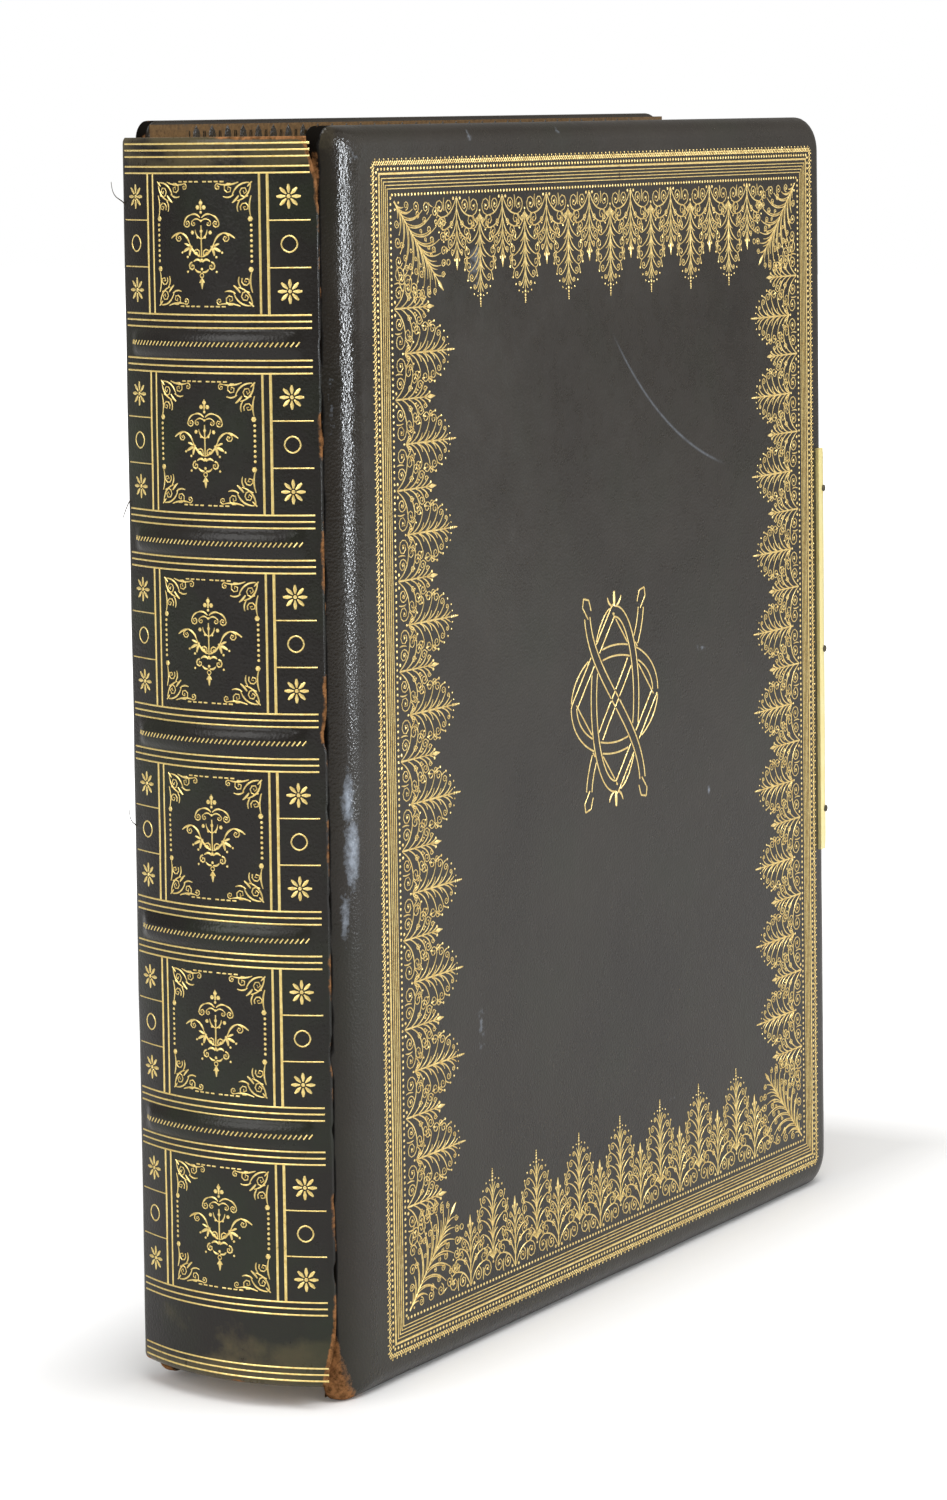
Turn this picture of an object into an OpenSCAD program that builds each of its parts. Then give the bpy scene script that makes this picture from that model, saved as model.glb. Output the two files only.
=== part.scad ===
// Photo album bound in tooled leather, closed and standing on the tail edges of its covers.
// X runs from the spine to the fore edge, the front cover faces -Y, Z runs from tail to head.
// The origin is below the middle of the whole album, clasp strap included.

/* [Covers] */
// Height of a cover
cover_h = 290; // [240:1:340]
// Width of a cover from its joint edge to its fore edge
cover_w = 244; // [200:1:290]
// Thickness of the board inside a cover
board_t = 5.4; // [4.6:0.1:8]
// Thickness of the covering leather
leather_t = 0.8; // [0.5:0.1:1]
// Corner radius at the fore edge
fore_corner_r = 9; // [6:1:14]
// Corner radius at the joint edge
joint_corner_r = 4; // [2:0.5:8]
// How far the rounding of an outer edge reaches in
edge_in = 5; // [3:0.5:6]
// How deep the rounding of an outer edge goes
edge_deep = 4; // [2:0.5:4]
// How far the rounding of the joint edge reaches in
joint_in = 13; // [8:1:16]
// How deep the rounding of the joint edge goes
joint_deep = 5; // [3:0.5:5]
// Width of the leather turned in over the inner face
turn_in_w = 16; // [10:1:24]
// Gap between the spine and the sound back cover
back_joint_gap = 1; // [0.8:0.1:2]
// How far the front cover has moved away from its cracked joint
front_slip = 3; // [0:0.5:4]
// How far the front cover has dropped in its cracked joint
front_drop = 1.6; // [0:0.2:3]

/* [Leaves] */
// Thickness of the whole block of leaves
block_t = 38.4; // [26:0.2:60]
// Number of leaves
leaf_count = 18; // [8:1:24]
// Width of the gap between two leaves at their edges
groove_w = 0.35; // [0.2:0.05:0.6]
// Depth of the gap between two leaves
groove_deep = 1.2; // [0.6:0.1:2]
// How far the covers stand past the leaves
square_w = 6; // [4.5:0.5:10]
// Gap between the leaves and each closed cover
cover_gap = 0.8; // [0.7:0.1:2]
// Width of the picture window
window_w = 92; // [60:1:120]
// Height of the picture window
window_h = 136; // [90:1:160]
// Depth of the picture window in its leaf
window_deep = 1; // [0.6:0.1:1.6]
// Width of the gilt line round the picture window
window_line_w = 2.4; // [1:0.2:5]
// Thickness of the blank card in the picture window
card_t = 0.4; // [0.2:0.1:0.5]
// Width of the cloth hinge on the leaves
hinge_cloth_w = 14; // [8:1:24]
// Thickness of the cloth hinge
hinge_cloth_t = 0.3; // [0.2:0.05:0.35]
// Radius of the head and tail bands
end_band_r = 1.1; // [0.8:0.1:1.4]

/* [Spine] */
// How far the spine bulges behind the covers
spine_rise = 7.2; // [5:0.2:12]
// Thickness of the spine leather
spine_leather_t = 1.6; // [1:0.1:2.4]
// Thickness of the card liner under the spine leather
liner_t = 1.4; // [0.8:0.1:2.4]
// How far the spine stops short of the back cover at head and tail
spine_short = 3.8; // [2:0.2:6]
// Number of raised bands
band_count = 5; // [3:1:7]
// Distance from the head of the spine to its first panel
head_space = 8; // [6.5:0.1:16]
// Distance from the tail of the spine to its last panel
tail_space = 19.5; // [10:0.1:30]
// Width of a raised band
band_w = 6.2; // [4:0.2:7]
// Height of a raised band
band_rise = 1.1; // [0.6:0.1:2]
// How far a raised band stops short of the joint
band_end = 4; // [2:0.5:6]

/* [Gilt tooling] */
// Thickness of the gilt
gilt_t = 0.12; // [0.08:0.01:0.2]
// Gap between the gilt frame and the rounding of the joint edge
frame_joint_gap = 4; // [0.5:0.5:12]
// Gap between the gilt frame and the rounding of the fore edge
frame_fore_gap = 2; // [1.4:0.2:8]
// Gap between the gilt frame and the rounding at the head
frame_head_gap = 2.6; // [0.4:0.2:8]
// Gap between the gilt frame and the rounding at the tail
frame_tail_gap = 0.8; // [0.4:0.2:8]
// Width of the lace line at the outside of the frame
lace_w = 1.7; // [1:0.1:2.4]
// Width of the thick fillet
fillet_w = 1.1; // [0.6:0.1:1.6]
// Width of a thin line
line_w = 0.4; // [0.3:0.05:0.7]
// Distance between two pendants of the border
pendant_pitch = 20.8; // [16:0.1:26]
// How far a pendant reaches in from the outside of the frame
pendant_reach = 35; // [26:0.5:42]
// How far a palmette between two pendants reaches in
palmette_reach = 26; // [18:0.5:32]
// Height of the ornament in the middle of the front cover
ornament_h = 56; // [30:1:80]
// Width of the ornament in the middle of the front cover
ornament_w = 44; // [24:1:60]
// Distance between two lines across the spine
spine_line_step = 1.45; // [1:0.05:1.6]
// Width of the column of stars at each side of the spine
star_column_w = 9.6; // [7:0.2:11]
// Gap between a star and the lines round it
star_gap = 2; // [1:0.1:2.4]
// Distance between the two lines beside a column of stars
side_line_step = 2.2; // [1:0.1:3]
// Gap between the lines and the frame of a panel's middle field
field_gap = 1.2; // [0.6:0.1:2.5]
// Gap between the frame of a field and the ornament in it, at the sides
ornament_side_gap = 5; // [2:0.2:6]
// Gap between the frame of a field and the ornament in it, at head and tail
ornament_end_gap = 3.8; // [2:0.2:8]

/* [Clasp] */
// Length of a clasp plate
plate_len = 109; // [80:1:140]
// Thickness of a clasp plate
plate_t = 0.9; // [0.6:0.1:1.2]
// How far a plate grips the flat face of its cover
plate_grip = 0.6; // [0.4:0.1:1]
// Length of a plate's tapered end
plate_taper = 13; // [6:1:20]
// Radius of a plate's pins
pin_r = 0.9; // [0.6:0.1:1.2]
// Distance from the end of a plate to its first pin
pin_end_gap = 10.9; // [5:0.1:20]
// Length of a plate's pins
pin_len = 4.6; // [3:0.2:5]
// Thickness of the clasp strap
strap_t = 1.4; // [1:0.1:2]
// Height of the clasp strap at its hinge
strap_h = 34; // [24:1:50]
// Height of the clasp strap at its lip
strap_tip_h = 22; // [16:1:32]
// Length from the hinge over which the strap narrows
strap_taper = 24; // [16:1:34]
// Length of the lip that laps over the front plate
lip_len = 5; // [3:0.5:6]
// Outer radius of the clasp's hinge knuckles
knuckle_r = 2.2; // [1.8:0.1:2.8]
// Height of one hinge knuckle
knuckle_h = 9; // [6:0.5:14]
// Radius of the clasp's hinge pin
hinge_pin_r = 0.9; // [0.6:0.1:1.1]

/* [Hidden] */

// Clearances
flat_gap = 0.3;
curve_gap = 0.05;
pin_fit = 0.02;
run_fit = 0.05;
lip_gap = 0.4;
knuckle_gap = 0.3;

// Thicknesses, measured along Y
cover_t = leather_t + board_t + leather_t;
half_t = block_t / 2 + cover_gap + cover_t;
leaf_t = block_t / leaf_count;

// Heights
back_z = front_drop;
spine_z = back_z + spine_short;
spine_h = cover_h - 2 * spine_short;
spine_top = spine_z + spine_h;
block_z = back_z + square_w;
block_h = cover_h - 2 * square_w;
clasp_z = back_z + cover_h / 2;

// Places along X before centring, with the back cover's joint edge at zero
spine_x = -back_joint_gap;
spine_half = half_t - flat_gap;
spine_r = (pow(spine_half, 2) + pow(spine_rise, 2)) / (2 * spine_rise);
spine_cx = spine_x - spine_rise + spine_r;
front_fore_x = front_slip + cover_w;
back_fore_x = cover_w;
block_fore_x = back_fore_x - square_w;
liner_r = spine_r - spine_leather_t - curve_gap;
block_r = liner_r - liner_t - curve_gap;
strap_x = front_fore_x + plate_t + lip_gap + strap_t / 2;
clasp_axis_y = half_t - cover_t / 2;
strap_len = clasp_axis_y + half_t + plate_t + lip_gap + strap_t;

// The middle of the album along X
x_low = spine_cx - spine_r - band_rise - gilt_t;
x_high = strap_x + strap_len;
x_mid = (x_low + x_high) / 2;

// A clasp plate bends round the edge of its cover
plate_bend = min(edge_in, edge_deep);
plate_lap = edge_in + plate_grip;

// Gilt frame on a cover, placed from the cover's joint edge and tail edge
frame_x = joint_in + frame_joint_gap;
frame_z = edge_in + frame_tail_gap;
frame_w = cover_w - frame_x - edge_in - frame_fore_gap;
frame_h = cover_h - frame_z - edge_in - frame_head_gap;
pearl_w = 1.5;
fillet_in = lace_w + pearl_w;
lines_in = fillet_in + fillet_w + line_w;
line_step = 2 * line_w;
frame_lines = 3;
border_in = lines_in + frame_lines * line_step + pearl_w;

// Spine tooling: each group of lines is measured from the middle of a band
band_foot = 0.5;
group_lines = 3;
group_in = band_w / 2 + band_foot;
group_out = group_in + (group_lines - 1) * spine_line_step;
panel_count = band_count + 1;
panel_h = (spine_h - head_space - tail_space - band_count * 2 * group_out) / panel_count;
band_pitch = panel_h + 2 * group_out;
cell_h = panel_h / 3;
line_end = 0.6;
line_half = spine_half - line_end;
side_line_out = line_half - star_column_w;
side_line_in = side_line_out - side_line_step;
field_half = side_line_in - field_gap;
field_h = panel_h - 2 * field_gap - 2 * line_w;
star_in = side_line_out + star_column_w / 2;
star_r = min(star_column_w, cell_h) / 2 - star_gap;
ring_share = 0.7;
ring_r = star_r * ring_share;

leather_colour = [0.15, 0.16, 0.14];
gilt_colour = [0.80, 0.66, 0.36];
brass_colour = [0.86, 0.73, 0.35];

// Points of an arc, and a rectangle with its own corner radius at the joint side and the fore side
function arc_points(x, y, r, from, n = 6) = [for (i = [0:n]) [x + r * cos(from + 90 * i / n), y + r * sin(from + 90 * i / n)]];

function rounded(x0, y0, x1, y1, joint_r, fore_r) = concat(
    arc_points(x1 - fore_r, y0 + fore_r, fore_r, -90),
    arc_points(x1 - fore_r, y1 - fore_r, fore_r, 0),
    arc_points(x0 + joint_r, y1 - joint_r, joint_r, 90),
    arc_points(x0 + joint_r, y0 + joint_r, joint_r, 180));

// How far the surface stands in from a rounded edge, at a depth below the outer face
function inset_at(depth, reach, deep) = depth >= deep ? 0 : reach * (1 - sqrt(1 - pow(1 - depth / deep, 2)));

// Turns a flat drawing in X and Z into a slab that starts at y
module slab(y, thick) {
    translate([0, y + thick, 0])
        rotate([90, 0, 0])
            linear_extrude(thick)
                children();
}

// One ring of points round a cover at a depth below the outer face, standing in by the skin
function cover_ring(skin, depth) =
    let (below = depth - skin,
         fore = skin + inset_at(below, edge_in - skin, edge_deep - skin),
         joint = skin + inset_at(below, joint_in - skin, joint_deep - skin))
    [for (p = rounded(joint, fore, cover_w - fore, cover_h - fore, joint_corner_r, max(fore_corner_r - fore, 1)))
        [p[0], depth, p[1]]];

// A closed form through rings of points, with the same even number of points in each ring
module ring_form(rings) {
    n = len(rings[0]);
    last = len(rings) - 1;
    sides = [for (k = [0:last - 1], i = [0:n - 1])
        let (j = (i + 1) % n)
        each [[k * n + i, k * n + j, (k + 1) * n + j], [k * n + i, (k + 1) * n + j, (k + 1) * n + i]]];
    caps = [for (i = [0:n / 2 - 2])
        each [[n - 1 - i, n - 2 - i, i + 1, i],
              [last * n + i, last * n + i + 1, last * n + n - 2 - i, last * n + n - 1 - i]]];
    polyhedron(points = [for (ring = rings) each ring], faces = concat(sides, caps));
}

// The closed form of a cover, or of the board inside it when skin is the leather's thickness
module cover_form(skin) {
    layers = 7;
    deepest = max(edge_deep, joint_deep) - skin;
    depths = concat([for (i = [0:layers]) skin + deepest * (1 - cos(90 * i / layers))], [cover_t - skin]);
    ring_form([for (depth = depths) cover_ring(skin, depth)]);
}

// Places a piece drawn for a cover that starts at the origin and lies inward of its outer face
module on_front() {
    translate([front_slip - x_mid, -half_t, 0])
        children();
}

module on_back() {
    translate([-x_mid, half_t, back_z])
        mirror([0, 1, 0])
            children();
}

module in_album() {
    translate([-x_mid, 0, 0])
        children();
}

// The heights of a plate's three pins above the middle of the plate
pin_heights = [pin_end_gap - plate_len / 2, 0, plate_len / 2 - pin_end_gap];

// plate_mid is the height of the plate's middle above the cover's tail edge
module pin_holes(r, plate_mid) {
    for (height = pin_heights)
        translate([cover_w - plate_lap / 2, -plate_t - flat_gap, plate_mid + height])
            rotate([-90, 0, 0])
                cylinder(r = r, h = pin_len + plate_t, $fn = 32);
}

module cover_board(plate_mid) {
    difference() {
        cover_form(leather_t);
        pin_holes(pin_r + run_fit, plate_mid);
    }
}

module cover_leather(plate_mid) {
    difference() {
        cover_form(0);
        cover_form(leather_t);
        slab(leather_t + board_t, 2 * leather_t)
            inner_panel();
        pin_holes(pin_r + run_fit, plate_mid);
    }
}

module inner_panel() {
    polygon(rounded(turn_in_w, turn_in_w, cover_w - turn_in_w, cover_h - turn_in_w, 1, 1));
}

module cover_pastedown() {
    slab(leather_t + board_t, leather_t)
        inner_panel();
}

// A flat ring between two insets of a rectangle
module ring_between(w, h, from, to) {
    difference() {
        translate([from, from])
            square([w - 2 * from, h - 2 * from]);
        translate([to, to])
            square([w - 2 * to, h - 2 * to]);
    }
}

// The gilt line and row of points on the turned-in leather
module turn_in_gilt() {
    tooth_in = 3.2;
    tooth_deep = 8;
    w = cover_w - 2 * edge_in;
    h = cover_h - 2 * edge_in;
    count_w = floor((w - 2 * tooth_in) / tooth_deep);
    count_h = floor((h - 2 * tooth_in) / tooth_deep);
    step_w = (w - 2 * tooth_in) / count_w;
    step_h = (h - 2 * tooth_in) / count_h;
    slab(cover_t, gilt_t)
        translate([edge_in, edge_in]) {
            ring_between(w, h, 0, tooth_in);
            for (i = [1:count_w - 2]) {
                translate([tooth_in + (i + 0.5) * step_w, tooth_in])
                    tooth(step_w, tooth_deep);
                translate([tooth_in + (i + 0.5) * step_w, h - tooth_in])
                    rotate(180)
                        tooth(step_w, tooth_deep);
            }
            for (i = [1:count_h - 2]) {
                translate([tooth_in, tooth_in + (i + 0.5) * step_h])
                    rotate(-90)
                        tooth(step_h, tooth_deep);
                translate([w - tooth_in, tooth_in + (i + 0.5) * step_h])
                    rotate(90)
                        tooth(step_h, tooth_deep);
            }
        }
}

module tooth(w, h) {
    root = 0.2;
    half_share = 0.42;
    polygon([[-w * half_share, -root], [w * half_share, -root], [0, h]]);
}

// The nested lines of the frame on the outer face
module frame_gilt() {
    slab(-gilt_t, gilt_t)
        translate([frame_x, frame_z]) {
            ring_between(frame_w, frame_h, 0, lace_w);
            ring_between(frame_w, frame_h, fillet_in, fillet_in + fillet_w);
            for (i = [0:frame_lines - 1])
                ring_between(frame_w, frame_h, lines_in + i * line_step, lines_in + i * line_step + line_w);
        }
}

// Half outlines as shares of width and height, from the foot to the tip
pendant_half = [[0.07, 0], [0.09, 0.16], [0.40, 0.24], [0.44, 0.38], [0.30, 0.44], [0.35, 0.56],
                [0.20, 0.63], [0.22, 0.74], [0.07, 0.80]];
palmette_half = [[0.08, 0], [0.34, 0.02], [0.46, 0.20], [0.40, 0.46], [0.24, 0.66], [0.10, 0.72]];
corner_half = [[0.02, 0.04], [0.30, 0.32], [0.46, 0.50], [0.40, 0.66], [0.24, 0.80], [0.10, 0.86]];

module leaf_shape(half, w, h) {
    left = [for (i = [len(half) - 1:-1:0]) [-half[i][0] * w, half[i][1] * h]];
    right = [for (p = half) [p[0] * w, p[1] * h]];
    polygon(concat(left, right, [[0, h]]));
}

// Puts a motif at a place along one side of the frame, pointing inward from the inner line
module at_side(side, along) {
    half = side % 2 == 0 ? frame_h / 2 : frame_w / 2;
    translate([frame_x + frame_w / 2, frame_z + frame_h / 2])
        rotate(90 * side)
            translate([along, border_in - half])
                children();
}

module border_gilt() {
    corner_lap = 2;
    pendant_share = 0.9;
    palmette_share = 0.45;
    corner_share = 1.1;
    corner_reach = pendant_reach - corner_lap;
    pendant_tall = pendant_reach - border_in;
    palmette_tall = palmette_reach - border_in;
    slab(-gilt_t, gilt_t)
        for (side = [0:3]) {
            length = side % 2 == 0 ? frame_w : frame_h;
            count = max(1, floor((length - 2 * corner_reach) / pendant_pitch));
            for (i = [0:count - 1])
                at_side(side, (i - (count - 1) / 2) * pendant_pitch)
                    leaf_shape(pendant_half, pendant_pitch * pendant_share, pendant_tall);
            for (i = [0:count])
                at_side(side, (i - count / 2) * pendant_pitch)
                    leaf_shape(palmette_half, pendant_pitch * palmette_share, palmette_tall);
            at_side(side, -length / 2 + border_in)
                rotate(-45)
                    leaf_shape(corner_half, pendant_pitch * corner_share, palmette_tall * sqrt(2));
        }
}

function oval_points(a, b, n = 48) = [for (i = [0:n - 1]) [a * cos(i * 360 / n), b * sin(i * 360 / n)]];

module oval_ring(w, h, line) {
    difference() {
        polygon(oval_points(w / 2, h / 2));
        polygon(oval_points(w / 2 - line, h / 2 - line));
    }
}

module lozenge_shape(half) {
    polygon([[half[0], 0], [0, half[1]], [-half[0], 0], [0, -half[1]]]);
}

// Two ovals laced through a lozenge, with a bud at head and tail
module front_ornament() {
    strap = 1.2;
    half_w = ornament_w / 2;
    half_h = ornament_h / 2;
    tall_oval = [0.55 * ornament_w, 0.86 * ornament_h];
    wide_oval = [ornament_w, ornament_h / 2];
    lozenge = [half_w, 0.84 * half_h];
    bud = [0.2 * ornament_w, 0.09 * ornament_h];
    inner = 1 - 1.5 * strap / half_w;
    slab(-gilt_t, gilt_t)
        translate([frame_x + frame_w / 2, frame_z + frame_h / 2]) {
            oval_ring(tall_oval[0], tall_oval[1], strap);
            oval_ring(wide_oval[0], wide_oval[1], strap);
            difference() {
                lozenge_shape(lozenge);
                lozenge_shape(lozenge * inner);
            }
            for (side = [0, 180])
                rotate(side)
                    translate([0, half_h - bud[1]])
                        leaf_shape(palmette_half, bud[0], bud[1]);
        }
}

// The spine's plan: a shell between two radii, cut off square at the joints
module spine_shell_plan(outer, thick) {
    intersection() {
        translate([spine_cx, 0])
            difference() {
                circle(r = outer, $fn = 180);
                circle(r = outer - thick, $fn = 180);
            }
        translate([spine_x - spine_rise - band_rise, -spine_half])
            square([spine_rise + band_rise, 2 * spine_half]);
    }
}

// The middle of each panel, and of the band below it
function panel_height(i) = spine_top - head_space - i * band_pitch - panel_h / 2;
function band_height(i) = panel_height(i) - band_pitch / 2;

// Angles round the spine, as seen from its centre: the joints, and the ends of the raised bands
spine_turn = asin(spine_half / spine_r);
band_turn = asin((spine_half - band_end) / spine_r);

// One ring of points round the leather at one height. Between the ends of the bands the outer skin stands out by rise,
// and the inner skin runs back to the planes where the leather is cut at the joints
function spine_ring(height, rise) =
    let (flat = 20, fade = 2, half = flat / 2,
         inner_r = spine_r - spine_leather_t,
         inner_turn = acos((spine_cx - spine_x) / inner_r),
         outer = [for (i = [-half - fade:half + fade])
             let (past = max(0, abs(i) - half),
                  turn = past > 0 ? band_turn + (spine_turn - band_turn) * past / fade : band_turn * abs(i) / half,
                  r = spine_r + (past > 0 ? 0 : rise))
             [spine_cx - r * cos(turn), (i < 0 ? -1 : 1) * r * sin(turn), height]],
         inner = [for (i = [half + fade:-1:-half - fade])
             let (turn = inner_turn * i / (half + fade))
             [spine_cx - inner_r * cos(turn), inner_r * sin(turn), height]])
    concat(outer, inner);

// The leather is one closed form, with a sloping ridge for each raised band
module spine_leather() {
    side_slope = 0.7;
    crest = band_w / 2 - side_slope * band_rise;
    bands = [for (i = [band_count - 1:-1:0]) band_height(i)];
    rings = concat([spine_ring(spine_z, 0)],
                   [for (z = bands)
                       each [spine_ring(z - band_w / 2, 0), spine_ring(z - crest, band_rise),
                             spine_ring(z + crest, band_rise), spine_ring(z + band_w / 2, 0)]],
                   [spine_ring(spine_top, 0)]);
    color(leather_colour)
        in_album()
            ring_form(rings);
}

module spine_liner() {
    color([0.55, 0.42, 0.28])
        in_album()
            translate([0, 0, spine_z])
                linear_extrude(spine_h)
                    spine_shell_plan(liner_r, liner_t);
}

// Lays a drawing in Y and Z on the spine's curved face
module on_spine(rise = 0) {
    intersection() {
        translate([spine_cx, 0, spine_z])
            difference() {
                cylinder(r = spine_r + rise + gilt_t, h = spine_h, $fn = 180);
                translate([0, 0, -1])
                    cylinder(r = spine_r + rise, h = spine_h + 2, $fn = 180);
            }
        translate([spine_cx - spine_r - band_rise - 1, 0, 0])
            rotate([90, 0, 90])
                linear_extrude(spine_rise + band_rise + 1)
                    children();
    }
}

// The place along Y of a point at a distance round the spine from its middle
function round_spine(s) = spine_r * sin(s / spine_r * 180 / PI);

module spine_line(height) {
    translate([-line_half, height - line_w / 2])
        square([2 * line_half, line_w]);
}

module spine_line_gilt() {
    color(gilt_colour)
        in_album() {
            on_spine() {
                for (i = [0:band_count - 1], j = [0:group_lines - 1], side = [-1, 1])
                    spine_line(band_height(i) + side * (group_in + j * spine_line_step));
                for (j = [0:group_lines - 1]) {
                    spine_line(spine_top - (j + 1) * spine_line_step);
                    spine_line(spine_z + tail_space - j * spine_line_step);
                    spine_line(spine_z + (j + 1) * spine_line_step);
                }
                spine_line(spine_top - head_space);
                spine_line(spine_top - head_space + spine_line_step);
            }
            on_spine(band_rise)
                for (i = [0:band_count - 1])
                    translate([band_end + 1 - spine_half, band_height(i) - line_w])
                        square([2 * (spine_half - band_end - 1), 2 * line_w]);
        }
}

// Double lines, cell lines and the frame of the middle field
module spine_panel_gilt() {
    field_y = round_spine(field_half);
    column_y = round_spine(side_line_out) + line_w;
    color(gilt_colour)
        in_album()
            on_spine()
                for (i = [0:panel_count - 1]) {
                    translate([-field_y, panel_height(i) - field_h / 2])
                        ring_between(2 * field_y, field_h, 0, line_w);
                    for (side = [-1, 1]) {
                        for (line = [0, 1])
                            translate([side * round_spine(side_line_in + line * side_line_step), panel_height(i)])
                                square([line_w, panel_h - line_w], center = true);
                        for (cell = [-1, 1])
                            translate([side * (column_y + line_half) / 2, panel_height(i) + cell * cell_h / 2])
                                square([line_half - column_y, line_w], center = true);
                    }
                }
}

// A branching candlestick ornament, as half an outline
candle_half = [[0.05, 0], [0.10, 0.14], [0.30, 0.30], [0.42, 0.44], [0.50, 0.60], [0.30, 0.58], [0.16, 0.70],
               [0.16, 0.84]];

module spine_ornament_gilt() {
    ornament_tall = field_h - 2 * ornament_end_gap;
    ornament_wide = 2 * (field_half - ornament_side_gap);
    color(gilt_colour)
        in_album()
            on_spine()
                for (i = [0:panel_count - 1])
                    translate([0, panel_height(i) - ornament_tall / 2])
                        leaf_shape(candle_half, ornament_wide, ornament_tall);
}

module star(r) {
    points = 8;
    waist = 0.45;
    polygon([for (i = [0:2 * points - 1])
        (i % 2 == 0 ? r : r * waist) * [sin(i * 180 / points), cos(i * 180 / points)]]);
}

module spine_star_gilt() {
    color(gilt_colour)
        in_album()
            on_spine()
                for (i = [0:panel_count - 1], side = [-1, 1]) {
                    for (cell = [-1, 1])
                        translate([side * round_spine(star_in), panel_height(i) + cell * cell_h])
                            star(star_r);
                    translate([side * round_spine(star_in), panel_height(i)])
                        difference() {
                            circle(r = ring_r, $fn = 32);
                            circle(r = ring_r - line_w, $fn = 32);
                        }
                }
}

// The outline of a picture window with an arched head, drawn round the middle of the leaf
module window_shape(grow) {
    wide = window_w + 2 * grow;
    straight = window_h - window_w / 2 + grow;
    translate([(spine_x + block_fore_x) / 2, block_z + block_h / 2 - window_h / 2]) {
        translate([-wide / 2, -grow])
            square([wide, straight]);
        translate([0, straight - grow])
            circle(r = wide / 2, $fn = 64);
    }
}

module page_block() {
    color([0.90, 0.85, 0.70])
        in_album()
            difference() {
                translate([0, 0, block_z])
                    linear_extrude(block_h)
                        intersection() {
                            translate([spine_cx - spine_r, -block_t / 2])
                                square([block_fore_x - spine_cx + spine_r, block_t]);
                            union() {
                                translate([spine_cx, 0])
                                    circle(r = block_r, $fn = 180);
                                translate([spine_cx, -block_t])
                                    square([cover_w, 2 * block_t]);
                            }
                        }
                for (i = [1:leaf_count - 1])
                    slab(-block_t / 2 + i * leaf_t - groove_w / 2, groove_w)
                        difference() {
                            translate([spine_cx - spine_r, block_z - 1])
                                square([cover_w + spine_r, block_h + 2]);
                            translate([spine_cx - spine_r, block_z + groove_deep])
                                square([block_fore_x - spine_cx + spine_r - groove_deep, block_h - 2 * groove_deep]);
                        }
                slab(-block_t / 2 - 1, window_deep + 1)
                    window_shape(0);
                slab(block_t / 2 - window_deep, window_deep + 1)
                    window_shape(0);
            }
}

module window_card(y) {
    color([0.62, 0.55, 0.45])
        in_album()
            slab(y, card_t)
                window_shape(-flat_gap);
}

module window_gilt(y) {
    color(gilt_colour)
        in_album()
            slab(y, gilt_t)
                difference() {
                    window_shape(window_line_w);
                    window_shape(flat_gap);
                }
}

module hinge_cloth(y) {
    back_edge = spine_cx - sqrt(pow(block_r, 2) - pow(block_t / 2, 2));
    color([0.28, 0.16, 0.12])
        in_album()
            slab(y, hinge_cloth_t)
                translate([back_edge + flat_gap, block_z])
                    square([hinge_cloth_w, block_h]);
}

// A rounded cord that follows the rounded back of the leaves
module end_band(height) {
    color([0.62, 0.14, 0.12])
        in_album()
            intersection() {
                translate([spine_cx, 0, height])
                    rotate_extrude($fn = 180)
                        translate([block_r - end_band_r, 0])
                            circle(r = end_band_r, $fn = 24);
                translate([spine_cx - spine_r, -block_t / 2, height - end_band_r])
                    cube([spine_rise * 2, block_t, 2 * end_band_r]);
            }
}

// The bent section of a clasp plate, lapping over the face and the fore edge of its cover
module plate_section() {
    bend = plate_bend;
    difference() {
        union() {
            translate([cover_w - plate_lap, -plate_t])
                square([plate_lap - bend, plate_t]);
            translate([cover_w, bend])
                square([plate_t, cover_t - bend - flat_gap]);
            intersection() {
                translate([cover_w - bend, bend])
                    circle(r = bend + plate_t, $fn = 64);
                translate([cover_w - bend, -plate_t])
                    square([bend + plate_t, bend + plate_t]);
            }
        }
        translate([cover_w - bend, bend])
            circle(r = bend, $fn = 64);
    }
}

// A plate with tapered ends. plate_mid is the height of its middle above the cover's tail edge
module edge_plate(plate_mid) {
    difference() {
        intersection() {
            translate([0, 0, plate_mid - plate_len / 2])
                linear_extrude(plate_len)
                    plate_section();
            slab(-plate_t - 1, cover_t + plate_t + 2)
                polygon([[cover_w - plate_lap - 1, plate_mid - plate_len / 2],
                         [cover_w - plate_lap / 2, plate_mid - plate_len / 2],
                         [cover_w + plate_t, plate_mid + plate_taper - plate_len / 2],
                         [cover_w + plate_t, plate_mid - plate_taper + plate_len / 2],
                         [cover_w - plate_lap / 2, plate_mid + plate_len / 2],
                         [cover_w - plate_lap - 1, plate_mid + plate_len / 2]]);
        }
        pin_holes(pin_r + pin_fit, plate_mid);
    }
}

module plate_pins(plate_mid) {
    head_proud = 0.15;
    for (height = pin_heights)
        translate([cover_w - plate_lap / 2, -plate_t - head_proud, plate_mid + height])
            rotate([-90, 0, 0])
                cylinder(r = pin_r, h = pin_len - flat_gap, $fn = 32);
}

// Heights of the hinge knuckles round the middle of the clasp
stack_h = 3 * knuckle_h + 2 * knuckle_gap;

module clasp_knuckle(height) {
    translate([strap_x, clasp_axis_y, height])
        cylinder(r = knuckle_r, h = knuckle_h, $fn = 48);
}

module clasp_bore(r) {
    translate([strap_x, clasp_axis_y, clasp_z - stack_h])
        cylinder(r = r, h = 2 * stack_h, $fn = 48);
}

module front_board() {
    color([0.52, 0.42, 0.30])
        on_front()
            cover_board(clasp_z);
}

module front_leather() {
    color(leather_colour)
        on_front()
            cover_leather(clasp_z);
}

module front_pastedown() {
    color([0.80, 0.76, 0.64])
        on_front()
            cover_pastedown();
}

module front_turn_in_gilt() {
    color(gilt_colour)
        on_front()
            turn_in_gilt();
}

module front_frame_gilt() {
    color(gilt_colour)
        on_front()
            frame_gilt();
}

module front_border_gilt() {
    color(gilt_colour)
        on_front()
            border_gilt();
}

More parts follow.
